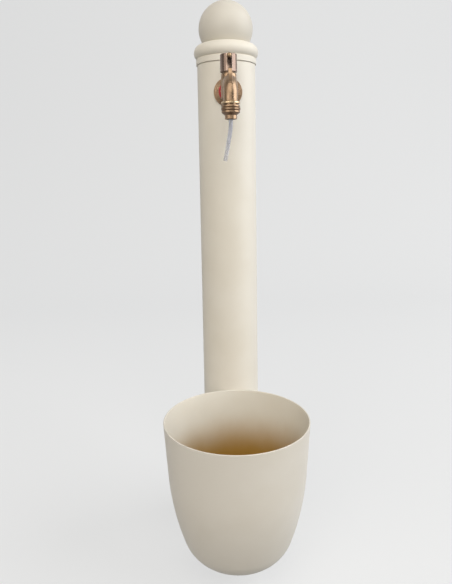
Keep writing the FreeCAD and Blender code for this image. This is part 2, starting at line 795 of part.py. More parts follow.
def make_valve():
    sphere = Part.makeSphere(ball_valve_radius)
    bore = cylinder(ball_bore_radius, -ball_valve_radius, ball_valve_radius)
    bore.rotate(FreeCAD.Vector(0, 0, 0), FreeCAD.Vector(0, 1, 0), 90)
    slot = Part.makeBox(
        slot_width, 2 * ball_valve_radius, slot_depth,
        FreeCAD.Vector(-slot_width / 2, -ball_valve_radius, ball_valve_radius - slot_depth),
    )
    save("valve_ball", at_valve(sphere.cut(bore).cut(slot)))

    reach = Part.makeSphere(ball_valve_radius + seat_clearance)
    near = seat_near()
    ring = pipe(barrel_bore_radius - seat_fit, seat_bore_radius, near, near + seat_thickness)
    seat = ring.cut(reach)
    for node, turn in (("ball_seat_front", 90), ("ball_seat_rear", -90)):
        copy = seat.copy()
        copy.rotate(FreeCAD.Vector(0, 0, 0), FreeCAD.Vector(1, 0, 0), turn)
        save(node, at_valve(copy))

    stem_top = knob_heights()[2]
    shoulder_top = stem_shoulder_top()
    shoulder_foot = shoulder_top - stem_shoulder_height
    tang_width = slot_width - 2 * tang_clearance
    tang = Part.makeBox(
        tang_width, 2 * stem_shoulder_radius, shoulder_foot - tang_foot() + overlap,
        FreeCAD.Vector(-tang_width / 2, -stem_shoulder_radius, tang_foot()),
    )
    tang = tang.common(cylinder(stem_shoulder_radius, tang_foot(), shoulder_top))
    shoulder = cylinder(stem_shoulder_radius, shoulder_foot, shoulder_top)
    drive_foot = knob_heights()[1] - drive_run_out
    round_part = cylinder(stem_radius, shoulder_foot, drive_foot)
    stem = fused(shoulder, round_part, tang, square_bar(drive_width, drive_foot - overlap, stem_top))
    screw_hole_foot = stem_top - handle_screw_grip - handle_screw_tip_gap
    stem = stem.cut(cylinder(handle_screw_radius, screw_hole_foot, stem_top))
    save("valve_stem", at_valve(stem))

    packing_top = neck_top + packing_height
    collar_top = neck_top + neck_collar_height
    inner = stem_radius + stem_clearance
    save("stem_packing", at_valve(pipe(gland_radius, inner, neck_top, packing_top)))

    gland = hex_nut(gland_flats, collar_top, collar_top + gland_hex_height, False, True)
    spigot = cylinder(gland_radius, packing_top, collar_top)
    gland = fused(gland, spigot).cut(cylinder(inner, packing_top, collar_top + gland_hex_height))
    save("gland_nut", at_valve(gland))


def square_bar(width, bottom, top):
    """A square bar whose corners are turned to the stem's round."""
    bar = Part.makeBox(width, width, top - bottom, FreeCAD.Vector(-width / 2, -width / 2, bottom))
    return bar.common(cylinder(stem_radius * width / drive_width, bottom, top))


def make_handle():
    foot, ceiling, stem_top, recess, top = knob_heights()
    knob = Outline(0, foot)
    knob.line(knob_radius - knob_edge / 2, foot)
    knob.line(knob_radius, foot + knob_edge / 2)
    knob.line(knob_radius, top - knob_edge)
    knob.arc(knob_radius - knob_edge, top - knob_edge, 90)
    knob.line(0, top)
    knob = knob.turned()

    collar = neck_collar_radius + knob_collar_clearance
    pocket_start = 90 - stop_angle / 2 - quarter_turn - stop_play
    pocket_sweep = stop_angle + quarter_turn + 2 * stop_play
    pocket = stop_sector(collar - overlap, stop_radius + knob_collar_clearance, foot,
                         neck_top + stop_height + knob_collar_clearance, pocket_start, pocket_sweep)
    drive = square_bar(drive_width + 2 * drive_clearance, ceiling - overlap, stem_top + drive_clearance)
    recess_radius = handle_head_radius + recess_clearance
    pin_height = top - pin_drop
    pin_inner = recess_radius + pin_wall
    pin_hole = forward_bar(pin_radius, pin_inner, knob_radius + overlap, pin_height)
    for cavity in (
        cylinder(collar, foot, ceiling),
        pocket,
        drive,
        cylinder(handle_screw_radius, ceiling, recess),
        cylinder(recess_radius, recess, top),
        pin_hole,
    ):
        knob = knob.cut(cavity)
    save("handle_knob", at_valve(knob))

    pin = Outline(0, pin_inner)
    pin.line(pin_radius, pin_inner)
    pin.line(pin_radius, pin_reach - pin_radius)
    pin.arc(0, pin_reach - pin_radius, 90)
    pin = pin.turned()
    pin.rotate(FreeCAD.Vector(0, 0, 0), FreeCAD.Vector(1, 0, 0), 90)
    save("handle_pin", at_valve(moved(pin, z=pin_height)))

    head = Outline(0, recess)
    head.line(handle_head_radius, recess)
    head_top = recess + handle_head_height
    head.line(handle_head_radius, head_top - handle_head_edge)
    head.line(handle_head_radius - handle_head_edge, head_top)
    head.line(0, head_top)
    shank = cylinder(handle_screw_radius, stem_top - handle_screw_grip, recess)
    key = hexagon(handle_key_flats, head_top - handle_key_depth, head_top)
    save("handle_screw", at_valve(fused(head.turned(), shank).cut(key)))


def forward_bar(radius, start, end, height):
    bar = cylinder(radius, start, end)
    bar.rotate(FreeCAD.Vector(0, 0, 0), FreeCAD.Vector(1, 0, 0), 90)
    return moved(bar, z=height)


def nozzle_heights():
    """Heights of the ring's foot and of the nozzle's top, band, cone and mouth, from the top down."""
    ring_foot = -spout_end_drop - ring_height
    top = ring_foot - nozzle_gap
    band_top = top - nozzle_bead_height
    band_foot = band_top - nozzle_band_height
    cone_top = band_foot - nozzle_bead_height
    cone_foot = cone_top - nozzle_cone_height
    return ring_foot, top, band_top, band_foot, cone_top, cone_foot, cone_foot - nozzle_end_height


def make_nozzle():
    ring_foot, top, band_top, band_foot, cone_top, cone_foot, mouth = nozzle_heights()
    ring = Outline(spout_spigot_radius + ring_clearance, ring_foot)
    ring.line(ring_radius - ring_edge, ring_foot)
    ring.arc(ring_radius - ring_edge, ring_foot + ring_edge, 90)
    ring.line(ring_radius, -spout_end_drop - ring_edge)
    ring.arc(ring_radius - ring_edge, -spout_end_drop - ring_edge, 90)
    ring.line(spout_spigot_radius + ring_clearance, -spout_end_drop)
    save("spout_ring", at_spout(ring.turned()))

    spigot_foot = -spout_end_drop - spout_spigot_length
    gasket_foot = spigot_foot - gasket_thickness
    bush_top = mouth + bush_length
    groove_radius = nozzle_bead_radius - nozzle_groove
    band_bevel = nozzle_band_radius - groove_radius
    blank = Outline(0, mouth)
    blank.line(nozzle_end_radius - nozzle_edge, mouth)
    blank.line(nozzle_end_radius, mouth + nozzle_edge)
    blank.line(nozzle_end_radius, cone_foot)
    blank.line(nozzle_cone_radius, cone_top)
    blank.line(nozzle_bead_radius, cone_top + nozzle_bead_lip)
    blank.line(nozzle_bead_radius, band_foot - nozzle_groove)
    blank.line(groove_radius, band_foot)
    blank.line(nozzle_band_radius, band_foot + band_bevel)
    blank.line(nozzle_band_radius, band_top - band_bevel)
    blank.line(groove_radius, band_top)
    blank.line(nozzle_bead_radius, band_top + nozzle_groove)
    blank.line(nozzle_bead_radius, top - nozzle_bead_round)
    blank.arc(nozzle_bead_radius - nozzle_bead_round, top - nozzle_bead_round, 90)
    blank.line(0, top)
    nozzle = blank.turned()
    nozzle = nozzle.cut(cylinder(spout_spigot_radius + thread_clearance, gasket_foot, top))
    nozzle = nozzle.cut(cylinder(nozzle_bore_radius, mouth, gasket_foot))
    nozzle = nozzle.cut(cylinder(bush_radius, mouth, bush_top))
    save("spout_nozzle", at_spout(nozzle))
    save("spout_gasket", at_spout(pipe(spout_spigot_radius, nozzle_bore_radius, gasket_foot, spigot_foot)))
    save("tube_insert", at_spout(pipe(bush_radius, outlet_tube_radius - outlet_tube_wall, mouth, bush_top)))
    return mouth


def make_outlet_tube(mouth):
    """The clear tube: straight runs joined by tangent arcs, as large as the runs allow."""
    points = [FreeCAD.Vector(x, -y, mouth + z) for x, y, z in outlet_tube_route]
    edges = []
    start = points[0]
    for before, corner, after in zip(points, points[1:], points[2:]):
        back = (before - corner).normalize()
        ahead = (after - corner).normalize()
        half_turn = (math.pi - back.getAngle(ahead)) / 2
        shorter = min((before - corner).Length, (after - corner).Length)
        radius = arc_share * shorter / math.tan(half_turn)
        trim = arc_share * shorter
        enter = corner + back * trim
        leave = corner + ahead * trim
        bisector = (back + ahead).normalize()
        middle = corner + bisector * (radius / math.cos(half_turn) - radius)
        edges.append(Part.LineSegment(start, enter).toShape())
        edges.append(Part.Arc(enter, middle, leave).toShape())
        print("outlet tube bend radius", round(radius, 1))
        start = leave
    edges.append(Part.LineSegment(start, points[-1]).toShape())
    path = Part.Wire(edges)
    tube = rod(path, outlet_tube_radius)
    expected = math.pi * outlet_tube_radius ** 2 * path.Length
    print("outlet tube length", round(path.Length, 1), "volume ratio", round(tube.Volume / expected, 4))
    save("outlet_tube", at_spout(tube))


os.makedirs("parts", exist_ok=True)
make_base()
make_post()
make_cap()
make_bowl()
make_gussets()
make_drain()
make_supply()
make_rosette()
make_inlet()
make_body()
make_valve()
make_handle()
make_outlet_tube(make_nozzle())
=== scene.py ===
import math

import bmesh
import bpy
from mathutils import Matrix, Vector


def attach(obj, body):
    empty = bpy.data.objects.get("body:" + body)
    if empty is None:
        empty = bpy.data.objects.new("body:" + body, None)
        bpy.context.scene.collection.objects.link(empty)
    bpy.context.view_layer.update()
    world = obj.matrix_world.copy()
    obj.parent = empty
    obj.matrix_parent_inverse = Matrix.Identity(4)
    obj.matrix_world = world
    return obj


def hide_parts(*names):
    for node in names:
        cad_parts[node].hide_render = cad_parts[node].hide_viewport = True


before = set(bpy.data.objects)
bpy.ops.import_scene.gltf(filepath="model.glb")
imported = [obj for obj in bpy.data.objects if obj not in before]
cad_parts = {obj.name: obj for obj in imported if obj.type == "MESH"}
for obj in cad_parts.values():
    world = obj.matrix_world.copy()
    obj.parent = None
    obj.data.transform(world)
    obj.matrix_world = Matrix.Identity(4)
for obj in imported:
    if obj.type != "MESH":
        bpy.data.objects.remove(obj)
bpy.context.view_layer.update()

# Sizes are in millimetres. A bar is given as its radius, its start and its end.
MM = 0.001
MERGE_WITHIN = 0.000002         # metres

# Post, cap and ball, with the cap's heights counted from the top of the post
POST_RADIUS = 54.0
POST_WALL = 4.0
POST_FOOT = 8.0
POST_TOP = 900.0
BOSS_HOLE = (14.0, 0, 70)
SCREW_RADIUS = 3.0
SCREW_DROP = 12
SKIRT_INNER = 46.7
SKIRT_OUTER = 49.7
SKIRT_FOOT = -25
CAP_WALL = 3
BAND_RADIUS = 55.8
BAND_HEIGHT = 11.2
BAND_BEVEL = 1.2
QUIRK_RADIUS = 54.6
QUIRK_WIDTH = 0.7
BEAD_CENTRE = 45.2
BEAD_RADIUS = 14.5
BEAD_RISE = 11.04               # from the bead's foot to its middle
CROWN_INNER = 41.2
CROWN_BEVEL = 3.2
BALL_RADIUS = 50.0
BALL_WALL = 2.5
BALL_VENT = 4.0

# Bowl
BOWL_REACH = 178.3              # from the post's axis to the bowl's
BOWL_FOOT = 44.0
BOWL_RIM = 124.0
BOWL_WALL = 2.5
BOWL_TAPER = math.radians(3.8)
BOWL_UPPER = 90.0
BELLY_RADIUS = 444.0
BELLY_END = math.radians(19.3)
HEEL_RADIUS = 58.0
WASTE_HOLE = 17.0
FLOOR_STEP = 2.0
RIM_ROUNDING = 1.05

# Tap
TAP_HEIGHT = 845.5
VALVE_REACH = 84.0              # from the post's axis to the valve's
SPOUT_REACH = 133.0             # and to the spout's drop
SPOUT_RADIUS = 12.1
BEND_RADIUS = 20.0
SPOUT_APEX = 7.0
SPOUT_END = 27.0                # below the inlet's axis

# Cover plate, washer and inlet, measured forward from the front of the post
PLATE_RADIUS = 25.5
PLATE_BACK = -4.0
PLATE_EDGE = 2.0
PLATE_FRONT = 7.0
PLATE_STEPS = 3
PLATE_TREAD = 2.3
PLATE_GROOVE = 0.5
PLATE_ROUNDING = 0.7
EDGE_ROUNDING = 0.8
PLATE_HOLE = 14.05
PLATE_BORE = 10.55
PLATE_GAP = 0.3                 # between its hollow back and the post
WASHER_BORE = 10.6
WASHER_RADIUS = 17.2
WASHER_FRONT = 8.6
HEXAGON_FLATS = 24.0
HEXAGON_FRONT = 13.0
INLET_TAIL = (10.48, -8.4, 9.6)
INLET_THREAD = (10.25, 12.0, 19.7)
INLET_BORE = (6.5, -9, 20)

# Casting, measured from the valve's centre
CHAMBER_RADIUS = 13.6
CHAMBER_FOOT = -18.0
CHAMBER_TOP = 18.4
CHAMBER_ROUNDING = 5.0
NECK_RADIUS = 13.2
NECK_FOOT = 21.0
NECK_TOP = 26.0
BARREL = (12.4, -17.0, 0)
GLAND_NOSE = (9.4, 24, 36)
SPOUT_SPIGOT = (11.0, -39, -26)
CHAMBER_BORE = (10.3, -18, 11.4)
STEM_HOLE = (4.08, 0, 37)
PACKING_SEAT = (6.45, 26, 37)
PASSAGE_RADIUS = 5.5
PASSAGE_START = 6.0
PASSAGE_BEYOND = 13.0

# Bucket spur: its root in degrees from the top of the bend, its tip from the valve's centre
SPUR_FRONT = 62
SPUR_BACK = -8
SPUR_PROUD = 1.4
SPUR_ROOT = 2.5
SPUR_TIP_FORWARD = 44.0
SPUR_TIP_UP = 25.8
SPUR_TIP_RADIUS = 2.2
SPUR_FRONT_BOW = -1.4
SPUR_BACK_BOW = -2.3
SPUR_THICKNESS = 6.8
SPUR_BEVEL = 1.1

# Knob and pin, with heights from the inlet's axis
KNOB_RADIUS = 14.6
KNOB_FOOT = 28.4
KNOB_TOP = 58.0
KNOB_BEVEL = 0.4
KNOB_ROUNDING = 0.8
GLAND_HOLLOW = 9.8
HOLLOW_TOP = 42.0
RECESS_RADIUS = 4.8
RECESS_DEPTH = 6.7
RECESS_BEVEL = 0.3
KNOB_SCREW = (2.0, 40, KNOB_TOP - 4)
PIN_HEIGHT = 52.3
PIN_SOCKET = (4.05, 6.4, 20)
PIN_RADIUS = 4.0
PIN_START = 6.4
PIN_TIP = 29.0

# Ring and nozzle, with heights from the inlet's axis
RING_BORE = 11.3
RING_RADIUS = 15.4
RING_ROUNDING = 1.0
RING_FOOT = -30.7
MOUTH = -55.2
LIP_RADIUS = 10.0
LIP_ROUNDING = 0.6
CONE_FOOT = -49.6
CONE_ROUNDING = 0.9
CONE_LIFT = 0.3
CONE_TOP = (14.9, -44.9)
LOWER_BEAD = (-44.4, -42.1)
UPPER_BEAD = -35.5
BEADS_RADIUS = 15.3
GROOVE_RADIUS = 14.7
LOWER_GROOVE = -41.5
UPPER_GROOVE = -36.1
GRIP_RADIUS = 15.9
GRIP_FOOT = -40.3
GRIP_TOP = -37.3
GRIP_COLUMNS = 240
GRIP_DEPTH = 0.2
NOZZLE_TOP = -32.7
NOZZLE_ROUNDING = 1.4
NOZZLE_SOCKET = 11.05
SOCKET_FLOOR = -40.5
NOZZLE_BORE = 6.0
BUSH_SEAT = 7.8
BUSH_DEPTH = 8

# Clear outlet tube: sideways, forward and down from the nozzle's mouth
TUBE_RADIUS = 3.5
TUBE_WALL = 1.0
NOZZLE_MOUTH = TAP_HEIGHT + MOUTH
TUBE_ROUTE = (
    (0.0, 0.0, 0.0),
    (0.0, 0.0, -10.0),
    (-1.9, 0.2, -24.0),
    (-4.8, 0.5, -38.5),
    (-7.2, 0.6, -53.0),
    (-10.4, 0.4, -68.0),
)

# Looks, with heights in metres. A fading value is given where it starts and where it is full.
# Painted shade and warm bounced light deep inside the bowl: amber below a wandering, slanting edge, and a
# paler, duller brown further down
SHADE_LINE_SLANT = -0.07             # the painted shade's edge stands higher at the right, where less light reaches
SHADE_LINE_WANDER = 0.016            # and wanders up and down
SHADE_LINE_EDGE = (0.262, 0.172)
AMBER_SHADE_COLOUR = (0.415, 0.238, 0.048)
DEEP_SHADE_EDGE = (0.168, 0.080)
DEEP_SHADE_SHARE = 0.85
DEEP_SHADE_COLOUR = (0.600, 0.475, 0.300)
# Painted shadow of the pin on the knob's drum:
PIN_SHADOW_DROP = 7.0                 # millimetres below the pin's axis
PIN_SHADOW_EDGE = (0.0058, 0.0022)
TUBE_FADE = (0.722, 0.770)
TUBE_ALPHA = (0.30, 0.74)

# Camera, in metres, radians and millimetres of lens and sensor
CAMERA_PLACE = (-0.05075, -1.04809, 0.69978)
CAMERA_HEADING = -0.0391
CAMERA_PITCH = 0.1404
CAMERA_ROLL = -0.0166
LENS = 33.40
SENSOR_WIDTH = 36.0
SHIFT_ACROSS = 0.0034
SHIFT_UP = -0.0695
NEAREST = 0.01
FURTHEST = 50.0

# Studio, in metres and watts
FLOOR_WIDTH = 9.0
FLOOR_DEPTH = 8.0
BACKDROP_HEIGHT = 5.0
COVE_WIDTH = 2.2
FLOOR_GLOW = 0.62
GLOW_EDGE = (1.8, 3.6)
GLOW_COLOUR = (0.90, 0.91, 0.92)
PAPER_SEEN = (0.72, 0.72, 0.71)
PAPER_AS_LIGHT = (0.16, 0.16, 0.155)
WORLD_SEEN = (0.70, 0.705, 0.71)
WORLD_AS_LIGHT = (0.20, 0.195, 0.188)
LAMP_AIM = (0, -0.08, 0.65)
LAMPS = (
    # name, place, size, power and colour
    ("front", (-0.4, -3.1, 3.0), 3.4, 88.0, (1.0, 0.96, 0.89)),
    ("left", (-2.55, -2.7, 1.6), 2.9, 41.0, (1.0, 0.94, 0.86)),
    ("right", (3.9, -0.9, 2.3), 4.6, 204.0, (0.975, 0.985, 1.0)),
)


# Bench work

def clear_bench():
    """Leave edit mode and deselect everything before the next piece."""
    if bpy.context.object and bpy.context.object.mode != "OBJECT":
        bpy.ops.object.mode_set(mode="OBJECT")
    bpy.ops.object.select_all(action="DESELECT")


def take(piece):
    """Select one piece alone and make it the active one."""
    clear_bench()
    piece.select_set(True)
    bpy.context.view_layer.objects.active = piece


def arc(centre_r, centre_z, radius, start, end, steps):
    """Points of an arc in a profile, from one angle to another in degrees."""
    points = []
    for step in range(steps + 1):
        angle = math.radians(start + (end - start) * step / steps)
        points.append((centre_r + radius * math.cos(angle), centre_z + radius * math.sin(angle)))
    return points


def evenly(profile, spacing):
    """A profile with more points, so that none are further apart than the spacing."""
    points = [profile[0]]
    for before, after in zip(profile, profile[1:]):
        parts = max(1, math.ceil(math.dist(before, after) / spacing))
        for part in range(1, parts + 1):
            share = part / parts
            points.append(tuple(start + (end - start) * share for start, end in zip(before, after)))
    return points


def draw_line(name, points):
    """Extrude one point again and again into a line of edges. The piece stays in edit mode."""
    clear_bench()
    bpy.ops.mesh.primitive_plane_add(size=MM, location=(0, 0, 0))
    piece = bpy.context.object
    piece.name = piece.data.name = name
    bpy.ops.object.mode_set(mode="EDIT")
    bpy.ops.mesh.select_mode(type="VERT")
    bpy.ops.mesh.select_all(action="SELECT")
    bpy.ops.mesh.merge(type="CENTER")
    bpy.ops.transform.translate(value=tuple(value * MM for value in points[0]))
    for before, after in zip(points, points[1:]):
        step = tuple((end - start) * MM for start, end in zip(before, after))
        bpy.ops.mesh.extrude_region_move(TRANSFORM_OT_translate={"value": step})
    return piece


def merge_doubles():
    """Join the points that lie on each other, and select everything again."""
    bpy.ops.mesh.select_all(action="SELECT")
    bpy.ops.mesh.remove_doubles(threshold=MERGE_WITHIN)
    bpy.ops.mesh.select_all(action="SELECT")


def face_outwards():
    """Turn all faces outwards and leave edit mode."""
    bpy.ops.mesh.normals_make_consistent(inside=False)
    bpy.ops.object.mode_set(mode="OBJECT")


def turn(name, profile, steps, ring=True, spacing=None):
    """Draw a profile and spin it round the upright axis. A ring's profile is closed."""
    points = list(profile) + ([profile[0]] if ring else [])
    if spacing:
        points = evenly(points, spacing)
    piece = draw_line(name, [(radius, 0, height) for radius, height in points])
    bpy.ops.mesh.select_all(action="SELECT")
    bpy.ops.mesh.spin(steps=steps, angle=2 * math.pi, center=(0, 0, 0), axis=(0, 0, 1))
    merge_doubles()
    face_outwards()
    return piece


def place(piece, y=0.0, z=0.0, forward=False):
    """Set a finished piece in its place. Forward lays its height along the tap's inlet."""
    take(piece)
    if forward:
        piece.rotation_euler = (math.pi / 2, 0, 0)
    piece.location = (0, y * MM, z * MM)
    bpy.ops.object.transform_apply(location=True, rotation=True, scale=True)
    return piece


def bevel(piece, width, segments, angle):
    """Add a bevel to the edges that are sharper than the angle in degrees."""
    take(piece)
    bpy.ops.object.modifier_add(type="BEVEL")
    modifier = piece.modifiers[-1]
    modifier.width = width * MM
    modifier.segments = segments
    modifier.limit_method = "ANGLE"
    modifier.angle_limit = math.radians(angle)
    return modifier


def soften(piece, width, segments=3, angle=40):
    """Round the hard edges a little and keep the flats flat."""
    modifier = bevel(piece, width, segments, angle)
    modifier.miter_outer = "MITER_ARC"
    bpy.ops.object.modifier_apply(modifier=modifier.name)
    smooth(piece)


def smooth(piece, angle=35):
    """Shade the round faces smooth, and keep edges sharper than the angle."""
    take(piece)
    bpy.ops.object.shade_smooth_by_angle(angle=math.radians(angle))
    bpy.ops.object.modifier_add(type="WEIGHTED_NORMAL")
    weights = piece.modifiers[-1]
    weights.keep_sharp = True
    bpy.ops.object.modifier_apply(modifier=weights.name)


def cut(piece, tool, operation="DIFFERENCE"):
    """Cut a piece with a tool, or join the tool to it, and put the tool away."""
    take(piece)
    bpy.ops.object.modifier_add(type="BOOLEAN")
    boolean = piece.modifiers[-1]
    boolean.operation = operation
    boolean.solver = "EXACT"
    boolean.object = tool
    bpy.ops.object.modifier_apply(modifier=boolean.name)
    bpy.data.objects.remove(tool)
    return piece


def upright(name, size, sides, **turned):
    """A round or six-sided bar on the upright axis, from its radius, its start and its end."""
    clear_bench()
    radius, start, end = size
    bpy.ops.mesh.primitive_cylinder_add(
        vertices=sides, radius=radius * MM, depth=(end - start) * MM,
        location=(0, 0, (end + start) / 2 * MM), **turned,
    )
    piece = bpy.context.object
    if name:
        piece.name = piece.data.name = name
    bpy.ops.object.transform_apply(location=True, rotation=True, scale=True)
    return piece


def bar(size, y=0.0, z=0.0, forward=False, sides=64):
    """A round tool for cutting holes and for rough castings."""
    return place(upright(None, size, sides), y=y, z=z, forward=forward)


def dress(piece, body, finish, slot, *nodes):
    """Give a piece its finish, set it on its body and let it stand for its solids."""
    take(piece)
    if not piece.data.materials:
        piece.data.materials.append(finish)
    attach(piece, body)
    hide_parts(*nodes)


# Finishes

def new_finish(name):
    """A new material, with its node tree and its shader."""
    finish = bpy.data.materials.new(name)
    finish.use_nodes = True
    return finish, finish.node_tree, finish.node_tree.nodes["Principled BSDF"]


def feed(tree, node, inputs):
    """Give a node's inputs the outputs of other nodes, colours or numbers."""
    for key, value in inputs.items():
        if isinstance(value, bpy.types.NodeSocket):
            tree.links.new(value, node.inputs[key])
        elif isinstance(value, tuple):
            node.inputs[key].default_value = (*value, 1.0)
        else:
            node.inputs[key].default_value = value


def place_of(tree, coordinates="Object"):
    """Each point's place, split into X, Y and Z."""
    coords = tree.nodes.new("ShaderNodeTexCoord")
    split = tree.nodes.new("ShaderNodeSeparateXYZ")
    feed(tree, split, {"Vector": coords.outputs[coordinates]})
    return split.outputs


def calculate(tree, operation, *values):
    """One step of arithmetic on outputs and numbers."""
    node = tree.nodes.new("ShaderNodeMath")
    node.operation = operation
    feed(tree, node, dict(enumerate(values)))
    return node.outputs[0]


def grain(tree, scale, detail=3.0, stretch=(1, 1, 1), roughness=0.5):
    """Noise on the piece's own coordinates."""
    coords = tree.nodes.new("ShaderNodeTexCoord")
    mapping = tree.nodes.new("ShaderNodeMapping")
    mapping.inputs["Scale"].default_value = stretch
    feed(tree, mapping, {"Vector": coords.outputs["Object"]})
    noise = tree.nodes.new("ShaderNodeTexNoise")
    feed(tree, noise, {"Scale": scale, "Detail": detail, "Roughness": roughness})
    feed(tree, noise, {"Vector": mapping.outputs["Vector"]})
    return noise.outputs["Fac"]


def ramp(tree, source, stops):
    """Colours along a scale from 0 to 1."""
    node = tree.nodes.new("ShaderNodeValToRGB")
    for element, (position, colour) in zip(node.color_ramp.elements, stops):
        element.position = position
        element.color = (*colour, 1.0)
    feed(tree, node, {"Fac": source})
    return node.outputs["Color"]


def blend(tree, share, first, second):
    """Two colours mixed, with the second one's share."""
    node = tree.nodes.new("ShaderNodeMix")
    node.data_type = "RGBA"
    feed(tree, node, {0: share, 6: first, 7: second})
    return node.outputs[2]


def fade(tree, source, low, high, to_low=0.0, to_high=1.0):
    """A smooth change from one value to another while the source goes from low to high."""
    node = tree.nodes.new("ShaderNodeMapRange")
    node.interpolation_type = "SMOOTHSTEP"
    feed(tree, node, {"From Min": low, "From Max": high, "To Min": to_low, "To Max": to_high})
    feed(tree, node, {"Value": source})
    return node.outputs["Result"]


def bump(tree, shader, height, strength, distance):
    """Fine relief, with its distance in metres."""
    node = tree.nodes.new("ShaderNodeBump")
    feed(tree, node, {"Height": height, "Strength": strength, "Distance": distance})
    feed(tree, shader, {"Normal": node.outputs["Normal"]})


def darker(colour, share):
    """A colour with the same share of each channel."""
    return tuple(channel * share for channel in colour)


def paint_bowl_depth_shade(tree, coat):
    """Painted shade and warm bounced light inside the bowl: amber below a wandering, slanting edge, and a
    paler, duller brown further down.
    """
    where = place_of(tree)
    slanted = calculate(tree, "MULTIPLY_ADD", where["X"], SHADE_LINE_SLANT, where["Z"])
    shade_line_noise = grain(tree, 26.0, 5.0, (1, 1, 0.5))
    height = calculate(tree, "MULTIPLY_ADD", shade_line_noise, SHADE_LINE_WANDER, slanted)
    deep_shade_inside = blend(tree, fade(tree, height, *SHADE_LINE_EDGE), coat, AMBER_SHADE_COLOUR)
    return blend(tree, fade(tree, height, *DEEP_SHADE_EDGE, 0.0, DEEP_SHADE_SHARE), deep_shade_inside, DEEP_SHADE_COLOUR)


def cream_coat(name, tone, deep_shade_inside=False):
    """Satin powder coat: a fine orange peel, and faint clouds of warmer tone."""
    finish, tree, shader = new_finish(name)
    clouds = grain(tree, 9.0, 4.0)
    warmer = tuple(channel * share for channel, share in zip(tone, (0.955, 0.945, 0.925)))
    colour = blend(tree, fade(tree, clouds, 0.35, 0.70), tone, warmer)
    # inside the bowl, painted shade and warm bounced light turn the cream amber towards the bottom
    if deep_shade_inside:
        colour = paint_bowl_depth_shade(tree, colour)
    feed(tree, shader, {"Base Color": colour, "Roughness": 0.46, "Specular IOR Level": 0.42})
    bump(tree, shader, grain(tree, 620.0, 2.0), 0.10, 0.0003)
    return finish


def painted_shadow_below_pin(tree):
    """1 on the drum's face just below the pin, a painted shadow of the pin, fading to 0 a little lower."""
    coords = tree.nodes.new("ShaderNodeTexCoord")
    spot = tree.nodes.new("ShaderNodeMapping")
    spot.vector_type = "TEXTURE"
    height = (TAP_HEIGHT + PIN_HEIGHT - PIN_SHADOW_DROP) * MM
    spot.inputs["Location"].default_value = (0.0, -(VALVE_REACH + KNOB_RADIUS) * MM, height)
    spot.inputs["Scale"].default_value = (1.0, 1.0, 2.0)
    feed(tree, spot, {"Vector": coords.outputs["Object"]})
    reach = tree.nodes.new("ShaderNodeVectorMath")
    reach.operation = "LENGTH"
    feed(tree, reach, {0: spot.outputs["Vector"]})
    return fade(tree, reach.outputs["Value"], *PIN_SHADOW_EDGE, 0.0, 0.95)


def aged_bronze(
    name, body, worn, dark, streak=(1, 1, 1), rough=(0.24, 0.42), patch=0.30, wear=0.5, scale=90.0,
    shadow_under_pin=False,
):
    """Aged bronze: brown patina in soft patches, hollows darkened by patina and painted shade, undersides
    darkened as painted shade, rubbed edges and, on the knob, a painted shadow below the pin.
    """
    finish, tree, shader = new_finish(name)
    patches = grain(tree, scale, 5.0, streak, 0.55)
    fine = grain(tree, 700.0, 4.0, streak, 0.6)
    tone = blend(tree, fade(tree, patches, 0.32, 0.68, 0.0, patch), body, dark)
    tone = blend(tree, fade(tree, fine, 0.55, 0.75, 0.0, 0.35), tone, worn)
    shape = tree.nodes.new("ShaderNodeNewGeometry")
    edges = fade(tree, shape.outputs["Pointiness"], 0.53, 0.60, 0.0, wear)
    # concave places darkened: partly patina, partly painted shade
    hollow_patina_and_shade = fade(tree, shape.outputs["Pointiness"], 0.48, 0.42, 0.0, 0.85)
    tone = blend(tree, edges, tone, worn)
    tone = blend(tree, hollow_patina_and_shade, tone, dark)
    # faces that point down are darkened: painted shade
    facing = tree.nodes.new("ShaderNodeSeparateXYZ")
    feed(tree, facing, {"Vector": shape.outputs["Normal"]})
    painted_underside_shade = fade(tree, facing.outputs["Z"], -0.12, -0.65, 0.0, 0.80)
    tone = blend(tree, painted_underside_shade, tone, dark)
    # a painted shadow of the pin on the drum below it
    if shadow_under_pin:
        tone = blend(tree, painted_shadow_below_pin(tree), tone, darker(dark, 0.3))
    shine = fade(tree, patches, 0.30, 0.70, *rough)
    feed(tree, shader, {"Base Color": tone, "Metallic": 0.92, "Roughness": shine})
    bump(tree, shader, fine, 0.07, 0.0002)
    return finish


def brushed_metal(name, colour, rough, streak, tint=0.85):
    """Brushed or drawn metal: long fine lines one way."""
    finish, tree, shader = new_finish(name)
    lines = grain(tree, 260.0, 5.0, streak, 0.65)
    tone = blend(tree, fade(tree, lines, 0.3, 0.7), darker(colour, tint), colour)
    shine = fade(tree, lines, 0.3, 0.7, rough + 0.08, rough - 0.05)
    feed(tree, shader, {"Base Color": tone, "Metallic": 1.0, "Roughness": shine})
    bump(tree, shader, lines, 0.06, 0.0002)
    return finish


def zinc_coat():
    """Hot-dipped zinc on pipe and fittings: dull spangle."""
    finish, tree, shader = new_finish("zinc_coat")
    coords = tree.nodes.new("ShaderNodeTexCoord")
    cells = tree.nodes.new("ShaderNodeTexVoronoi")
    feed(tree, cells, {"Scale": 260.0, "Vector": coords.outputs["Object"]})
    spangle = cells.outputs["Distance"]
    tone = ramp(tree, spangle, ((0.0, (0.46, 0.47, 0.49)), (0.8, (0.62, 0.63, 0.64))))
    feed(tree, shader, {"Base Color": tone, "Metallic": 0.9, "Roughness": 0.45})
    bump(tree, shader, spangle, 0.08, 0.0003)
    return finish


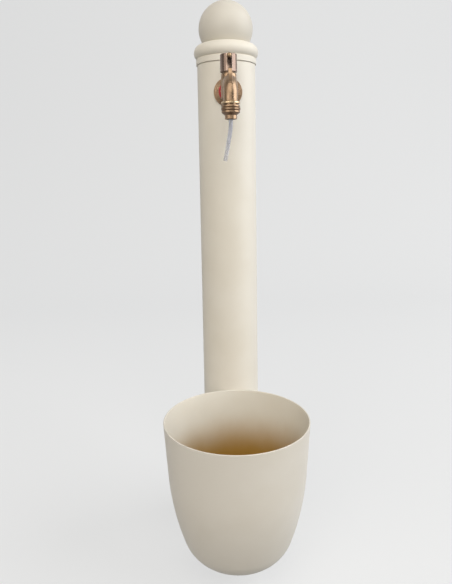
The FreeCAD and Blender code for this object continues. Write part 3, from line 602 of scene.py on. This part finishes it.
def moulded(name, colour, rough, change=0.85):
    """Rubber, fibre or plastic with a fine moulded grain."""
    finish, tree, shader = new_finish(name)
    specks = grain(tree, 420.0, 4.0)
    tone = blend(tree, fade(tree, specks, 0.3, 0.7), darker(colour, change), colour)
    feed(tree, shader, {"Base Color": tone, "Roughness": rough})
    bump(tree, shader, specks, 0.10, 0.0002)
    return finish


def clear_tubing():
    """Clear plastic tubing, faintly clouded, and thinner to the eye at its lower end."""
    finish, tree, shader = new_finish("clear_tubing")
    haze = grain(tree, 240.0, 3.0, (1, 1, 0.2))
    tone = ramp(tree, haze, ((0.3, (0.47, 0.48, 0.54)), (0.7, (0.72, 0.73, 0.78))))
    alpha = fade(tree, place_of(tree)["Z"], *TUBE_FADE, *TUBE_ALPHA)
    feed(tree, shader, {"Base Color": tone, "Roughness": fade(tree, haze, 0.3, 0.7, 0.26, 0.14)})
    feed(tree, shader, {"Alpha": alpha, "Transmission Weight": 0.45, "IOR": 1.40})
    return finish


# One cream paint in four tones: the ball's, the bowl's and the bowl inside's are painted darker than the
# post's, as shade where less light falls
post_cream = cream_coat("post_cream", (0.790, 0.750, 0.665))
ball_cream_shaded = cream_coat("ball_cream_shaded", (0.665, 0.630, 0.560))
bowl_cream_shaded = cream_coat("bowl_cream_shaded", (0.735, 0.695, 0.622))
bowl_inside_shaded = cream_coat("bowl_inside_shaded", (0.750, 0.720, 0.640), deep_shade_inside=True)
body_bronze = aged_bronze(
    "aged_bronze", (0.385, 0.262, 0.168), (0.62, 0.46, 0.30), (0.115, 0.067, 0.041), wear=0.30,
)
# the knob carries the painted shadow of its pin
knob_bronze = aged_bronze(
    "dark_bronze", (0.360, 0.265, 0.215), (0.50, 0.39, 0.31), (0.110, 0.074, 0.060),
    streak=(1, 1, 0.03), rough=(0.18, 0.28), patch=0.75, wear=0.0, scale=260.0, shadow_under_pin=True,
)
worn_bronze = aged_bronze(
    "worn_bronze", (0.46, 0.315, 0.185), (0.66, 0.50, 0.31), (0.16, 0.10, 0.06), patch=0.35,
)
gilt_bronze = aged_bronze(
    "gilt_bronze", (0.66, 0.50, 0.32), (0.80, 0.64, 0.43), (0.28, 0.18, 0.10), patch=0.20,
)
stainless = brushed_metal("brushed_stainless", (0.60, 0.60, 0.61), 0.30, (1, 1, 0.1))
raw_brass = brushed_metal("raw_brass", (0.68, 0.52, 0.26), 0.28, (1, 1, 6.0))
chrome = brushed_metal("polished_chrome", (0.80, 0.81, 0.83), 0.10, (1, 1, 1), tint=0.97)
zinc = zinc_coat()
red_fibre = moulded("red_fibre", (0.50, 0.035, 0.045), 0.55)
white_ring = moulded("white_sealing_ring", (0.84, 0.84, 0.81), 0.40, change=0.96)
black_rubber = moulded("black_rubber", (0.030, 0.030, 0.032), 0.62, change=0.7)
tubing = clear_tubing()


# Camera

def set_camera():
    """The viewer's place: a little left of the middle and below the cap, looking slightly down."""
    clear_bench()
    bpy.ops.object.camera_add(location=CAMERA_PLACE)
    camera = bpy.context.object
    turned = Matrix.Rotation(CAMERA_HEADING, 3, "Z") @ Matrix.Rotation(math.pi / 2 - CAMERA_PITCH, 3, "X")
    camera.rotation_euler = (turned @ Matrix.Rotation(CAMERA_ROLL, 3, "Z")).to_euler()
    camera.data.lens = LENS
    camera.data.sensor_width = SENSOR_WIDTH
    camera.data.shift_x = SHIFT_ACROSS
    camera.data.shift_y = SHIFT_UP
    camera.data.clip_start = NEAREST
    camera.data.clip_end = FURTHEST
    bpy.context.scene.camera = camera


set_camera()


# Clear outlet tube

def clear_tube():
    """The clear tube pushed into the nozzle's bush: it hangs and leans a little to one side."""
    curve = bpy.data.curves.new("clear_tube", "CURVE")
    curve.dimensions = "3D"
    line = curve.splines.new("NURBS")
    line.points.add(len(TUBE_ROUTE) - 1)
    for point, (x, y, z) in zip(line.points, TUBE_ROUTE):
        point.co = (x * MM, (-SPOUT_REACH - y) * MM, (NOZZLE_MOUTH + z) * MM, 1.0)
    line.order_u = 3
    line.use_endpoint_u = True
    line.resolution_u = 12
    curve.bevel_depth = TUBE_RADIUS * MM
    curve.bevel_resolution = 8
    tube = bpy.data.objects.new("clear_tube", curve)
    bpy.context.scene.collection.objects.link(tube)
    wall = tube.modifiers.new("wall", "SOLIDIFY")
    wall.thickness = TUBE_WALL * MM
    wall.offset = -1.0
    curve.materials.append(tubing)
    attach(tube, "post")
    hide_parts("outlet_tube")


clear_tube()


# Post, cap and ball

def screw_hole(start, end):
    """A tool for the hole of the cap's screw, below the top of the post."""
    return bar((SCREW_RADIUS, start, end), z=POST_TOP - SCREW_DROP, forward=True)


def post():
    """The round tube, with the boss's hole at the front and the screw's hole at the back."""
    profile = [
        (POST_RADIUS - POST_WALL, POST_FOOT), (POST_RADIUS, POST_FOOT),
        (POST_RADIUS, POST_TOP), (POST_RADIUS - POST_WALL, POST_TOP),
    ]
    tube = turn("post_shell", profile, 192)
    cut(tube, bar(BOSS_HOLE, z=TAP_HEIGHT, forward=True))
    cut(tube, screw_hole(-70, 0))
    soften(tube, 0.4)
    dress(tube, "post", post_cream, "cream_paint", "post_tube")


def cap():
    """The moulded cap with its skirt, band, quirk and bead, and the hollow ball on its crown."""
    bead_low = math.asin(BEAD_RISE / BEAD_RADIUS)
    bead_z = BAND_HEIGHT + QUIRK_WIDTH + BEAD_RADIUS * math.sin(bead_low)
    crown = bead_z + BEAD_RADIUS
    inner_turn = math.degrees(math.acos((SKIRT_INNER - BEAD_CENTRE) / (BEAD_RADIUS - CAP_WALL)))
    profile = [
        (SKIRT_INNER, SKIRT_FOOT), (SKIRT_OUTER, SKIRT_FOOT), (SKIRT_OUTER, 0),
        (POST_RADIUS - BAND_BEVEL, 0), (BAND_RADIUS, BAND_BEVEL),
        (BAND_RADIUS, BAND_HEIGHT), (QUIRK_RADIUS, BAND_HEIGHT),
    ]
    profile += arc(BEAD_CENTRE, bead_z, BEAD_RADIUS, -math.degrees(bead_low), 90, 28)
    profile += [(CROWN_INNER, crown), (CROWN_INNER - CROWN_BEVEL, crown - CAP_WALL)]
    profile += arc(BEAD_CENTRE, bead_z, BEAD_RADIUS - CAP_WALL, 90, -inner_turn, 20)
    collar = turn("cap_moulding", profile, 192)
    place(collar, z=POST_TOP)
    cut(collar, screw_hole(-60, 0))
    soften(collar, 0.25, 3, 30)
    dress(collar, "post", post_cream, "cream_paint", "cap_collar")

    seat = math.sqrt(BALL_RADIUS ** 2 - CROWN_INNER ** 2)
    inner = BALL_RADIUS - BALL_WALL
    outer_end = -math.degrees(math.acos(BALL_VENT / BALL_RADIUS))
    inner_end = -math.degrees(math.acos(BALL_VENT / inner))
    profile = arc(0, 0, BALL_RADIUS, 90, outer_end, 96)
    profile += arc(0, 0, inner, inner_end, 90, 48)
    profile[0] = (0.0, BALL_RADIUS)
    profile[-1] = (0.0, inner)
    ball = turn("ball_top", profile, 160, ring=False)
    place(ball, z=POST_TOP + crown + seat)
    smooth(ball, 40)
    dress(ball, "post", ball_cream_shaded, "cream_paint", "ball_finial")


post()
cap()


# Bowl

def bowl_profile():
    """The bowl's wall as a closed profile, with heights from its underside."""
    upper_r = BOWL_RIM - BOWL_UPPER * math.tan(BOWL_TAPER)
    belly_drop = BELLY_RADIUS * (math.sin(BELLY_END) - math.sin(BOWL_TAPER))
    heel_drop = HEEL_RADIUS * (1 - math.sin(BELLY_END))
    depth = BOWL_UPPER + belly_drop + heel_drop
    belly_r = upper_r - BELLY_RADIUS * math.cos(BOWL_TAPER)
    belly_z = depth - BOWL_UPPER + BELLY_RADIUS * math.sin(BOWL_TAPER)
    floor_r = belly_r + (BELLY_RADIUS - HEEL_RADIUS) * math.cos(BELLY_END)
    taper, end = math.degrees(BOWL_TAPER), math.degrees(BELLY_END)
    floor_radii = [WASTE_HOLE + FLOOR_STEP * step for step in range(10)]

    def side(inset):
        heel = arc(floor_r, HEEL_RADIUS, HEEL_RADIUS - inset, -90, -end, 28)
        belly = arc(belly_r, belly_z, BELLY_RADIUS - inset, -end, -taper, 24)
        upper = [
            (upper_r - inset / math.cos(BOWL_TAPER) + step * math.tan(BOWL_TAPER), depth - BOWL_UPPER + step)
            for step in (15, 30, 45, 60, 75)
        ]
        top = [(BOWL_RIM - inset / math.cos(BOWL_TAPER), depth)]
        return heel + belly[1:] + upper + top

    outer = [(radius, 0.0) for radius in floor_radii] + side(0.0)
    inner = [(radius, BOWL_WALL) for radius in floor_radii] + side(BOWL_WALL)
    return outer + inner[::-1], depth


def bowl():
    """The spun bowl, cream outside and on its rim, with a finish inside that has painted shade towards the
    bottom.
    """
    profile, depth = bowl_profile()
    shell = turn("bowl_shell", profile, 224)
    soften(shell, RIM_ROUNDING, 5, 50)
    place(shell, y=-BOWL_REACH, z=BOWL_FOOT)
    shell.data.materials.append(bowl_cream_shaded)
    shell.data.materials.append(bowl_inside_shaded)
    centre = Vector((0, -BOWL_REACH * MM, 0))
    just_above_floor = (BOWL_FOOT + 8) * MM
    just_below_rim = (BOWL_FOOT + depth - 1) * MM
    take(shell)
    bpy.ops.object.mode_set(mode="EDIT")
    bpy.ops.mesh.select_all(action="DESELECT")
    mesh = bmesh.from_edit_mesh(shell.data)
    for face in mesh.faces:
        middle = face.calc_center_median() - centre
        inward = face.normal.x * middle.x + face.normal.y * middle.y < 0
        inside_floor = middle.z < just_above_floor and face.normal.z > 0.5
        face.select = (inward or inside_floor) and middle.z < just_below_rim
    bmesh.update_edit_mesh(shell.data)
    shell.active_material_index = 1
    bpy.ops.object.material_slot_assign()
    bpy.ops.object.mode_set(mode="OBJECT")
    dress(shell, "post", bowl_cream_shaded, "cream_paint", "bowl")


bowl()


# Tap

def rosette():
    """The stepped cover plate, hollowed at the back to fit the post, and its red washer."""
    edge = PLATE_EDGE - EDGE_ROUNDING
    profile = [(PLATE_HOLE, PLATE_BACK), (PLATE_RADIUS, PLATE_BACK), (PLATE_RADIUS, edge)]
    profile += arc(PLATE_RADIUS - EDGE_ROUNDING, edge, EDGE_ROUNDING, 0, 90, 5)
    radius, reach = PLATE_RADIUS, PLATE_EDGE
    for _ in range(PLATE_STEPS):
        # a fine groove at the foot of each step, then the step's wall and its rounded corner
        radius -= PLATE_TREAD
        groove = reach - PLATE_GROOVE
        profile += [(radius + 0.55, reach), (radius + 0.45, groove), (radius + 0.05, groove)]
        reach += (PLATE_FRONT - PLATE_EDGE) / PLATE_STEPS
        corner = reach - PLATE_ROUNDING
        profile += [(radius, corner)] + arc(radius - PLATE_ROUNDING, corner, PLATE_ROUNDING, 0, 90, 4)
    profile += [(PLATE_BORE, PLATE_FRONT), (PLATE_BORE, PLATE_EDGE), (PLATE_HOLE, PLATE_EDGE)]
    cover = turn("wall_rosette", profile, 192, spacing=0.7)
    place(cover, y=-POST_RADIUS, z=TAP_HEIGHT, forward=True)
    cut(cover, bar((POST_RADIUS + PLATE_GAP, TAP_HEIGHT - 60, TAP_HEIGHT + 60), sides=256))
    smooth(cover, 30)
    dress(cover, "post", body_bronze, "aged_bronze", "tap_rosette")

    profile = [
        (WASHER_BORE, PLATE_FRONT), (WASHER_RADIUS, PLATE_FRONT),
        (WASHER_RADIUS, WASHER_FRONT), (WASHER_BORE, WASHER_FRONT),
    ]
    washer = turn("fibre_washer", profile, 96)
    place(washer, y=-POST_RADIUS, z=TAP_HEIGHT, forward=True)
    soften(washer, 0.25)
    dress(washer, "post", red_fibre, "red_fibre", "tap_washer")


def hexagon(name, flats, bottom, top):
    """A hexagon whose corners are turned off at both ends. A flat faces forward."""
    corner, margin, past = flats / math.sqrt(3), 0.3, 0.5
    piece = upright(name, (corner, bottom, top), 6, rotation=(0, 0, math.radians(30)))
    inside, outside = flats / 2 - margin, corner + margin
    rise = (corner - flats / 2 + margin) * math.tan(math.radians(30))
    # the cone's slope goes on past the ends, because a cut along faces that meet can lose the piece
    end = inside - past * (outside - inside) / rise
    cone = [
        (0, bottom - past), (end, bottom - past), (outside, bottom + rise),
        (outside, top - rise), (end, top + past), (0, top + past),
    ]
    return cut(piece, turn("cone", cone, 96, ring=False), "INTERSECT")


def inlet():
    """The tap's threaded inlet with its hexagon."""
    body = hexagon("inlet_hexagon", HEXAGON_FLATS, WASHER_FRONT, HEXAGON_FRONT)
    cut(body, bar(INLET_TAIL), "UNION")
    cut(body, bar(INLET_THREAD), "UNION")
    cut(body, bar(INLET_BORE))
    place(body, y=-POST_RADIUS, z=TAP_HEIGHT, forward=True)
    soften(body, 0.25)
    dress(body, "post", body_bronze, "aged_bronze", "tap_inlet")


def spout_line():
    """Slope of the spout's rising run, and the bend's centre from the valve's."""
    centre_y = SPOUT_REACH - VALVE_REACH - BEND_RADIUS
    centre_z = SPOUT_APEX - BEND_RADIUS
    distance = math.hypot(centre_y, centre_z)
    slope = math.asin(BEND_RADIUS / distance) + math.atan2(centre_z, centre_y)
    return slope, centre_y, centre_z


def spout_bar(name, radius, sides, beyond=0.0, start=0.0):
    """A round bar along the spout: a disc extruded up the run, spun round the bend and extruded down."""
    slope, centre_y, centre_z = spout_line()
    meet_y = centre_y - BEND_RADIUS * math.sin(slope)
    meet_z = centre_z + BEND_RADIUS * math.cos(slope)
    clear_bench()
    bpy.ops.mesh.primitive_circle_add(
        vertices=sides, radius=radius * MM, fill_type="NGON", location=(0, 0, 0),
    )
    piece = bpy.context.object
    piece.name = piece.data.name = name
    piece.rotation_euler = (math.pi / 2 - slope, 0, 0)
    piece.location = (0, -start * math.cos(slope) * MM, start * math.sin(slope) * MM)
    bpy.ops.object.transform_apply(location=True, rotation=True, scale=True)
    bpy.ops.object.mode_set(mode="EDIT")
    bpy.ops.mesh.select_mode(type="FACE")
    bpy.ops.mesh.select_all(action="SELECT")
    run = (math.hypot(meet_y, meet_z) - start) * MM
    up = (0, -run / 6 * math.cos(slope), run / 6 * math.sin(slope))
    for _ in range(6):
        bpy.ops.mesh.extrude_region_move(TRANSFORM_OT_translate={"value": up})
    bend_centre = (0, -centre_y * MM, centre_z * MM)
    bpy.ops.mesh.spin(steps=20, angle=math.pi / 2 + slope, center=bend_centre, axis=(-1, 0, 0))
    down = (0, 0, -(SPOUT_END + beyond + centre_z) / 4 * MM)
    for _ in range(4):
        bpy.ops.mesh.extrude_region_move(TRANSFORM_OT_translate={"value": down})
    merge_doubles()
    face_outwards()
    return piece


def bowed(start, end, bow, steps):
    """Points between two ends of a line that bows out to one side."""
    points = []
    for step in range(1, steps):
        share = step / steps
        points.append((
            start[0] + (end[0] - start[0]) * share + bow * 4 * share * (1 - share),
            start[1] + (end[1] - start[1]) * share,
        ))
    return points


def spur():
    """The bucket spur: an upright fin on the elbow, thinner towards its rounded tip."""
    _, centre_y, centre_z = spout_line()
    crest = BEND_RADIUS + SPOUT_RADIUS

    def from_bend(degrees, radius):
        angle = math.radians(degrees)
        return (centre_y + radius * math.sin(angle), centre_z + radius * math.cos(angle))

    front, back = from_bend(SPUR_FRONT, crest + SPUR_PROUD), from_bend(SPUR_BACK, crest - SPUR_ROOT)
    front_root = from_bend(SPUR_FRONT, crest - SPUR_ROOT)
    tip_front = (SPUR_TIP_FORWARD + SPUR_TIP_RADIUS, SPUR_TIP_UP)
    tip_back = (SPUR_TIP_FORWARD - SPUR_TIP_RADIUS, SPUR_TIP_UP)
    outline = [front] + bowed(front, tip_front, SPUR_FRONT_BOW, 8)
    outline += arc(SPUR_TIP_FORWARD, SPUR_TIP_UP, SPUR_TIP_RADIUS, 0, 180, 8)
    outline += bowed(tip_back, back, SPUR_BACK_BOW, 8) + [back, front_root, front]
    piece = draw_line("spur", [(-SPUR_THICKNESS / 2, -forward, up) for forward, up in outline])
    merge_doubles()
    bpy.ops.mesh.edge_face_add()
    bpy.ops.mesh.select_all(action="SELECT")
    bpy.ops.mesh.extrude_region_move(TRANSFORM_OT_translate={"value": (SPUR_THICKNESS * MM, 0, 0)})
    bpy.ops.mesh.select_all(action="SELECT")
    face_outwards()
    modifier = bevel(piece, SPUR_BEVEL, 3, 50)
    bpy.ops.object.modifier_apply(modifier=modifier.name)
    return piece


def recast(piece, size, rounds):
    """Melt joined shapes into one skin and smooth it, as a casting's blends are."""
    take(piece)
    bpy.ops.object.modifier_add(type="REMESH")
    remesh = piece.modifiers[-1]
    remesh.mode = "VOXEL"
    remesh.voxel_size = size * MM
    bpy.ops.object.modifier_apply(modifier=remesh.name)
    bpy.ops.object.modifier_add(type="SMOOTH")
    relax = piece.modifiers[-1]
    relax.factor = 0.5
    relax.iterations = rounds
    bpy.ops.object.modifier_apply(modifier=relax.name)


def join(first, *others):
    """Make one piece of several, without merging their surfaces."""
    take(first)
    for other in others:
        other.select_set(True)
    bpy.ops.object.join()
    return first


def casting():
    """The tap's body: a valve chamber with its inlet barrel, and the spout that rises and turns down."""
    foot_r, foot_z = CHAMBER_RADIUS - CHAMBER_ROUNDING, CHAMBER_FOOT + CHAMBER_ROUNDING
    profile = [(0, CHAMBER_FOOT)] + arc(foot_r, foot_z, CHAMBER_ROUNDING, -90, 0, 8)
    profile += [
        (CHAMBER_RADIUS, CHAMBER_TOP), (NECK_RADIUS, NECK_FOOT),
        (NECK_RADIUS, NECK_TOP), (0, NECK_TOP),
    ]
    chamber = turn("tap_casting", profile, 96, ring=False)
    barrel = bar(BARREL, forward=True, sides=96)
    rough = join(chamber, barrel, spout_bar("spout", SPOUT_RADIUS, 96))
    recast(rough, 0.5, 14)
    rough = join(rough, spur())
    recast(rough, 0.45, 3)
    cut(rough, bar(GLAND_NOSE, sides=96), "UNION")
    cut(rough, bar(SPOUT_SPIGOT, y=-(SPOUT_REACH - VALVE_REACH), sides=96), "UNION")
    cut(rough, bar(CHAMBER_BORE, forward=True))
    cut(rough, bar(STEM_HOLE))
    cut(rough, bar(PACKING_SEAT))
    cut(rough, spout_bar("passage", PASSAGE_RADIUS, 48, beyond=PASSAGE_BEYOND, start=PASSAGE_START))
    place(rough, y=-VALVE_REACH, z=TAP_HEIGHT)
    take(rough)
    bpy.ops.object.shade_smooth_by_angle(angle=math.radians(40))
    dress(rough, "post", body_bronze, "aged_bronze", "tap_body")


def knob():
    """The quarter-turn knob: a plain drum with a screw recess on top and a hollow over the gland."""
    profile = [
        (0, HOLLOW_TOP), (GLAND_HOLLOW, HOLLOW_TOP), (GLAND_HOLLOW, KNOB_FOOT),
        (KNOB_RADIUS - KNOB_BEVEL, KNOB_FOOT), (KNOB_RADIUS, KNOB_FOOT + KNOB_BEVEL),
    ]
    profile += arc(KNOB_RADIUS - KNOB_ROUNDING, KNOB_TOP - KNOB_ROUNDING, KNOB_ROUNDING, 0, 90, 6)
    profile += [
        (RECESS_RADIUS + RECESS_BEVEL, KNOB_TOP), (RECESS_RADIUS, KNOB_TOP - RECESS_BEVEL),
        (RECESS_RADIUS, KNOB_TOP - RECESS_DEPTH), (0, KNOB_TOP - RECESS_DEPTH),
    ]
    drum = turn("knob_drum", profile, 160, ring=False, spacing=0.8)
    cut(drum, bar(KNOB_SCREW))
    cut(drum, bar(PIN_SOCKET, z=PIN_HEIGHT, forward=True))
    place(drum, y=-VALVE_REACH, z=TAP_HEIGHT)
    smooth(drum, 45)
    dress(drum, "handle", knob_bronze, "dark_bronze", "handle_knob")

    profile = [(0, PIN_START), (PIN_RADIUS, PIN_START)] + arc(0, PIN_TIP - PIN_RADIUS, PIN_RADIUS, 0, 90, 14)
    profile[-1] = (0.0, PIN_TIP)
    pin = turn("lever_pin", profile, 72, ring=False, spacing=0.8)
    place(pin, y=-VALVE_REACH, z=TAP_HEIGHT + PIN_HEIGHT, forward=True)
    smooth(pin, 40)
    dress(pin, "handle", worn_bronze, "worn_bronze", "handle_pin")


def grip_ribs(piece, radius, foot, top, columns):
    """Press fine upright grooves into a turned band: every other column of its faces goes in a little."""
    take(piece)
    bpy.ops.object.mode_set(mode="EDIT")
    bpy.ops.mesh.select_mode(type="FACE")
    bpy.ops.mesh.select_all(action="DESELECT")
    mesh = bmesh.from_edit_mesh(piece.data)
    pitch = 2 * math.pi / columns
    for face in mesh.faces:
        middle = face.calc_center_median()
        outside = math.hypot(middle.x, middle.y) > (radius - 0.1) * MM
        column = int(math.floor((math.atan2(middle.y, middle.x) + math.pi) / pitch + 0.001))
        face.select = outside and foot * MM < middle.z < top * MM and column % 2 == 0
    bmesh.update_edit_mesh(piece.data)
    bpy.ops.mesh.extrude_region_shrink_fatten(TRANSFORM_OT_shrink_fatten={"value": -GRIP_DEPTH * MM})
    bpy.ops.mesh.select_all(action="DESELECT")
    bpy.ops.object.mode_set(mode="OBJECT")


def nozzle():
    """Below the spout: a bright ring, then a round nozzle with a gripping band, narrowing to its mouth."""
    centre = RING_RADIUS - RING_ROUNDING
    profile = [(RING_BORE, RING_FOOT)] + arc(centre, RING_FOOT + RING_ROUNDING, RING_ROUNDING, -90, 0, 5)
    profile += arc(centre, -SPOUT_END - RING_ROUNDING, RING_ROUNDING, 0, 90, 5) + [(RING_BORE, -SPOUT_END)]
    ring = turn("bright_ring", profile, 144, spacing=0.6)
    place(ring, y=-SPOUT_REACH, z=TAP_HEIGHT)
    smooth(ring, 40)
    dress(ring, "post", gilt_bronze, "worn_bronze", "spout_ring")

    lip = LIP_RADIUS - LIP_ROUNDING
    profile = [(BUSH_SEAT, MOUTH), (lip, MOUTH)] + arc(lip, MOUTH + LIP_ROUNDING, LIP_ROUNDING, -90, 0, 4)
    profile += [(LIP_RADIUS, CONE_FOOT)]
    profile += arc(LIP_RADIUS + CONE_ROUNDING, CONE_FOOT + CONE_LIFT, CONE_ROUNDING, 180, 140, 4)
    profile += [CONE_TOP] + [(BEADS_RADIUS, height) for height in LOWER_BEAD]
    profile += [
        (GROOVE_RADIUS, LOWER_GROOVE), (GRIP_RADIUS, GRIP_FOOT),
        (GRIP_RADIUS, GRIP_TOP), (GROOVE_RADIUS, UPPER_GROOVE), (BEADS_RADIUS, UPPER_BEAD),
    ]
    profile += arc(BEADS_RADIUS - NOZZLE_ROUNDING, NOZZLE_TOP - NOZZLE_ROUNDING, NOZZLE_ROUNDING, 0, 90, 7)
    profile += [
        (NOZZLE_SOCKET, NOZZLE_TOP), (NOZZLE_SOCKET, SOCKET_FLOOR), (NOZZLE_BORE, SOCKET_FLOOR),
        (NOZZLE_BORE, MOUTH + BUSH_DEPTH), (BUSH_SEAT, MOUTH + BUSH_DEPTH),
    ]
    body = turn("round_nozzle", profile, GRIP_COLUMNS, spacing=0.6)
    grip_ribs(body, GRIP_RADIUS, GRIP_FOOT, GRIP_TOP, GRIP_COLUMNS)
    place(body, y=-SPOUT_REACH, z=TAP_HEIGHT)
    smooth(body, 40)
    dress(body, "post", body_bronze, "aged_bronze", "spout_nozzle")


rosette()
inlet()
casting()
knob()
nozzle()


# Solids that stay, each with its finish

STAYING = {
    "base_flange": post_cream, "bowl_gusset_left": bowl_cream_shaded, "bowl_gusset_right": bowl_cream_shaded,
    "cap_set_screw": stainless, "drain_body": stainless, "drain_strainer": stainless,
    "strainer_screw": stainless, "handle_screw": stainless, "drain_locknut": raw_brass,
    "drain_gasket": black_rubber, "drain_washer": black_rubber, "riser_grommet": black_rubber,
    "tap_boss": zinc, "riser_elbow": zinc, "riser_pipe": zinc, "inlet_coupling": zinc,
    "ball_seat_front": white_ring, "ball_seat_rear": white_ring, "stem_packing": white_ring,
    "valve_ball": chrome, "valve_stem": raw_brass, "gland_nut": raw_brass,
    "spout_gasket": black_rubber, "tube_insert": black_rubber,
}
for node, finish in STAYING.items():
    for material_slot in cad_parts[node].material_slots:
        material_slot.material = finish


# Floor, light and background

def direct_rays(tree):
    """1 to the camera, also through clear plastic. The second value is 1 in reflections."""
    rays = tree.nodes.new("ShaderNodeLightPath").outputs
    direct = calculate(tree, "MAXIMUM", rays["Is Camera Ray"], rays["Is Transmission Ray"])
    return direct, rays["Is Glossy Ray"]


def pale_surroundings():
    """Beyond the floor and the backdrop: pale to look at, and dim as a light. Metal mirrors its far half."""
    world = bpy.data.worlds.new("studio")
    bpy.context.scene.world = world
    world.use_nodes = True
    tree = world.node_tree
    direct, glossy = direct_rays(tree)
    far_half = fade(tree, place_of(tree, "Generated")["Y"], 0.0, 0.3)
    share = calculate(tree, "MAXIMUM", direct, calculate(tree, "MULTIPLY", glossy, far_half))
    sky = blend(tree, share, WORLD_AS_LIGHT, WORLD_SEEN)
    feed(tree, tree.nodes["Background"], {"Color": sky, "Strength": 1.0})


def studio_paper():
    """The floor's finish: pale to look at, dim as a light, and glowing more up the backdrop."""
    paper, tree, shader = new_finish("studio_floor")
    seen = calculate(tree, "MAXIMUM", *direct_rays(tree))
    tone = blend(tree, seen, PAPER_AS_LIGHT, PAPER_SEEN)
    feed(tree, shader, {"Base Color": tone, "Roughness": 0.9, "Specular IOR Level": 0.1})
    glow = tree.nodes.new("ShaderNodeEmission")
    feed(tree, glow, {"Color": GLOW_COLOUR, "Strength": 1.0})
    everywhere = calculate(tree, "MULTIPLY", seen, FLOOR_GLOW)
    at_back = fade(tree, place_of(tree)["Y"], *GLOW_EDGE, 0.0, FLOOR_GLOW)
    mix = tree.nodes.new("ShaderNodeMixShader")
    share = calculate(tree, "MAXIMUM", everywhere, at_back)
    feed(tree, mix, {0: share, 1: shader.outputs["BSDF"], 2: glow.outputs["Emission"]})
    feed(tree, tree.nodes["Material Output"], {"Surface": mix.outputs["Shader"]})
    return paper


def studio():
    """A pale floor that curves up into a backdrop, a high lamp in front and a wide one on each side."""
    clear_bench()
    bpy.ops.mesh.primitive_plane_add(size=1.0, location=(0, 0, 0))
    floor = bpy.context.object
    floor.name = "floor"
    floor.scale = (FLOOR_WIDTH, FLOOR_DEPTH, 1.0)
    bpy.ops.object.transform_apply(location=True, rotation=True, scale=True)
    bpy.ops.object.mode_set(mode="EDIT")
    bpy.ops.mesh.select_mode(type="EDGE")
    bpy.ops.mesh.select_all(action="DESELECT")
    mesh = bmesh.from_edit_mesh(floor.data)
    for edge in mesh.edges:
        edge.select = all(vertex.co.y > FLOOR_DEPTH / 2 - 0.1 for vertex in edge.verts)
    bmesh.update_edit_mesh(floor.data)
    bpy.ops.mesh.extrude_region_move(TRANSFORM_OT_translate={"value": (0, 0, BACKDROP_HEIGHT)})
    bpy.ops.object.mode_set(mode="OBJECT")
    cove = floor.modifiers.new("cove", "BEVEL")
    cove.width = COVE_WIDTH
    cove.segments = 24
    bpy.ops.object.shade_smooth()
    floor.data.materials.append(studio_paper())

    for name, place_at, size, power, colour in LAMPS:
        clear_bench()
        bpy.ops.object.light_add(type="AREA", location=place_at)
        lamp = bpy.context.object
        lamp.name = name
        lamp.data.energy = power
        lamp.data.size = size
        lamp.data.color = colour
        lamp.rotation_euler = (Vector(LAMP_AIM) - Vector(place_at)).to_track_quat("-Z", "Y").to_euler()


studio()
pale_surroundings()

bpy.context.scene.view_settings.view_transform = "Standard"
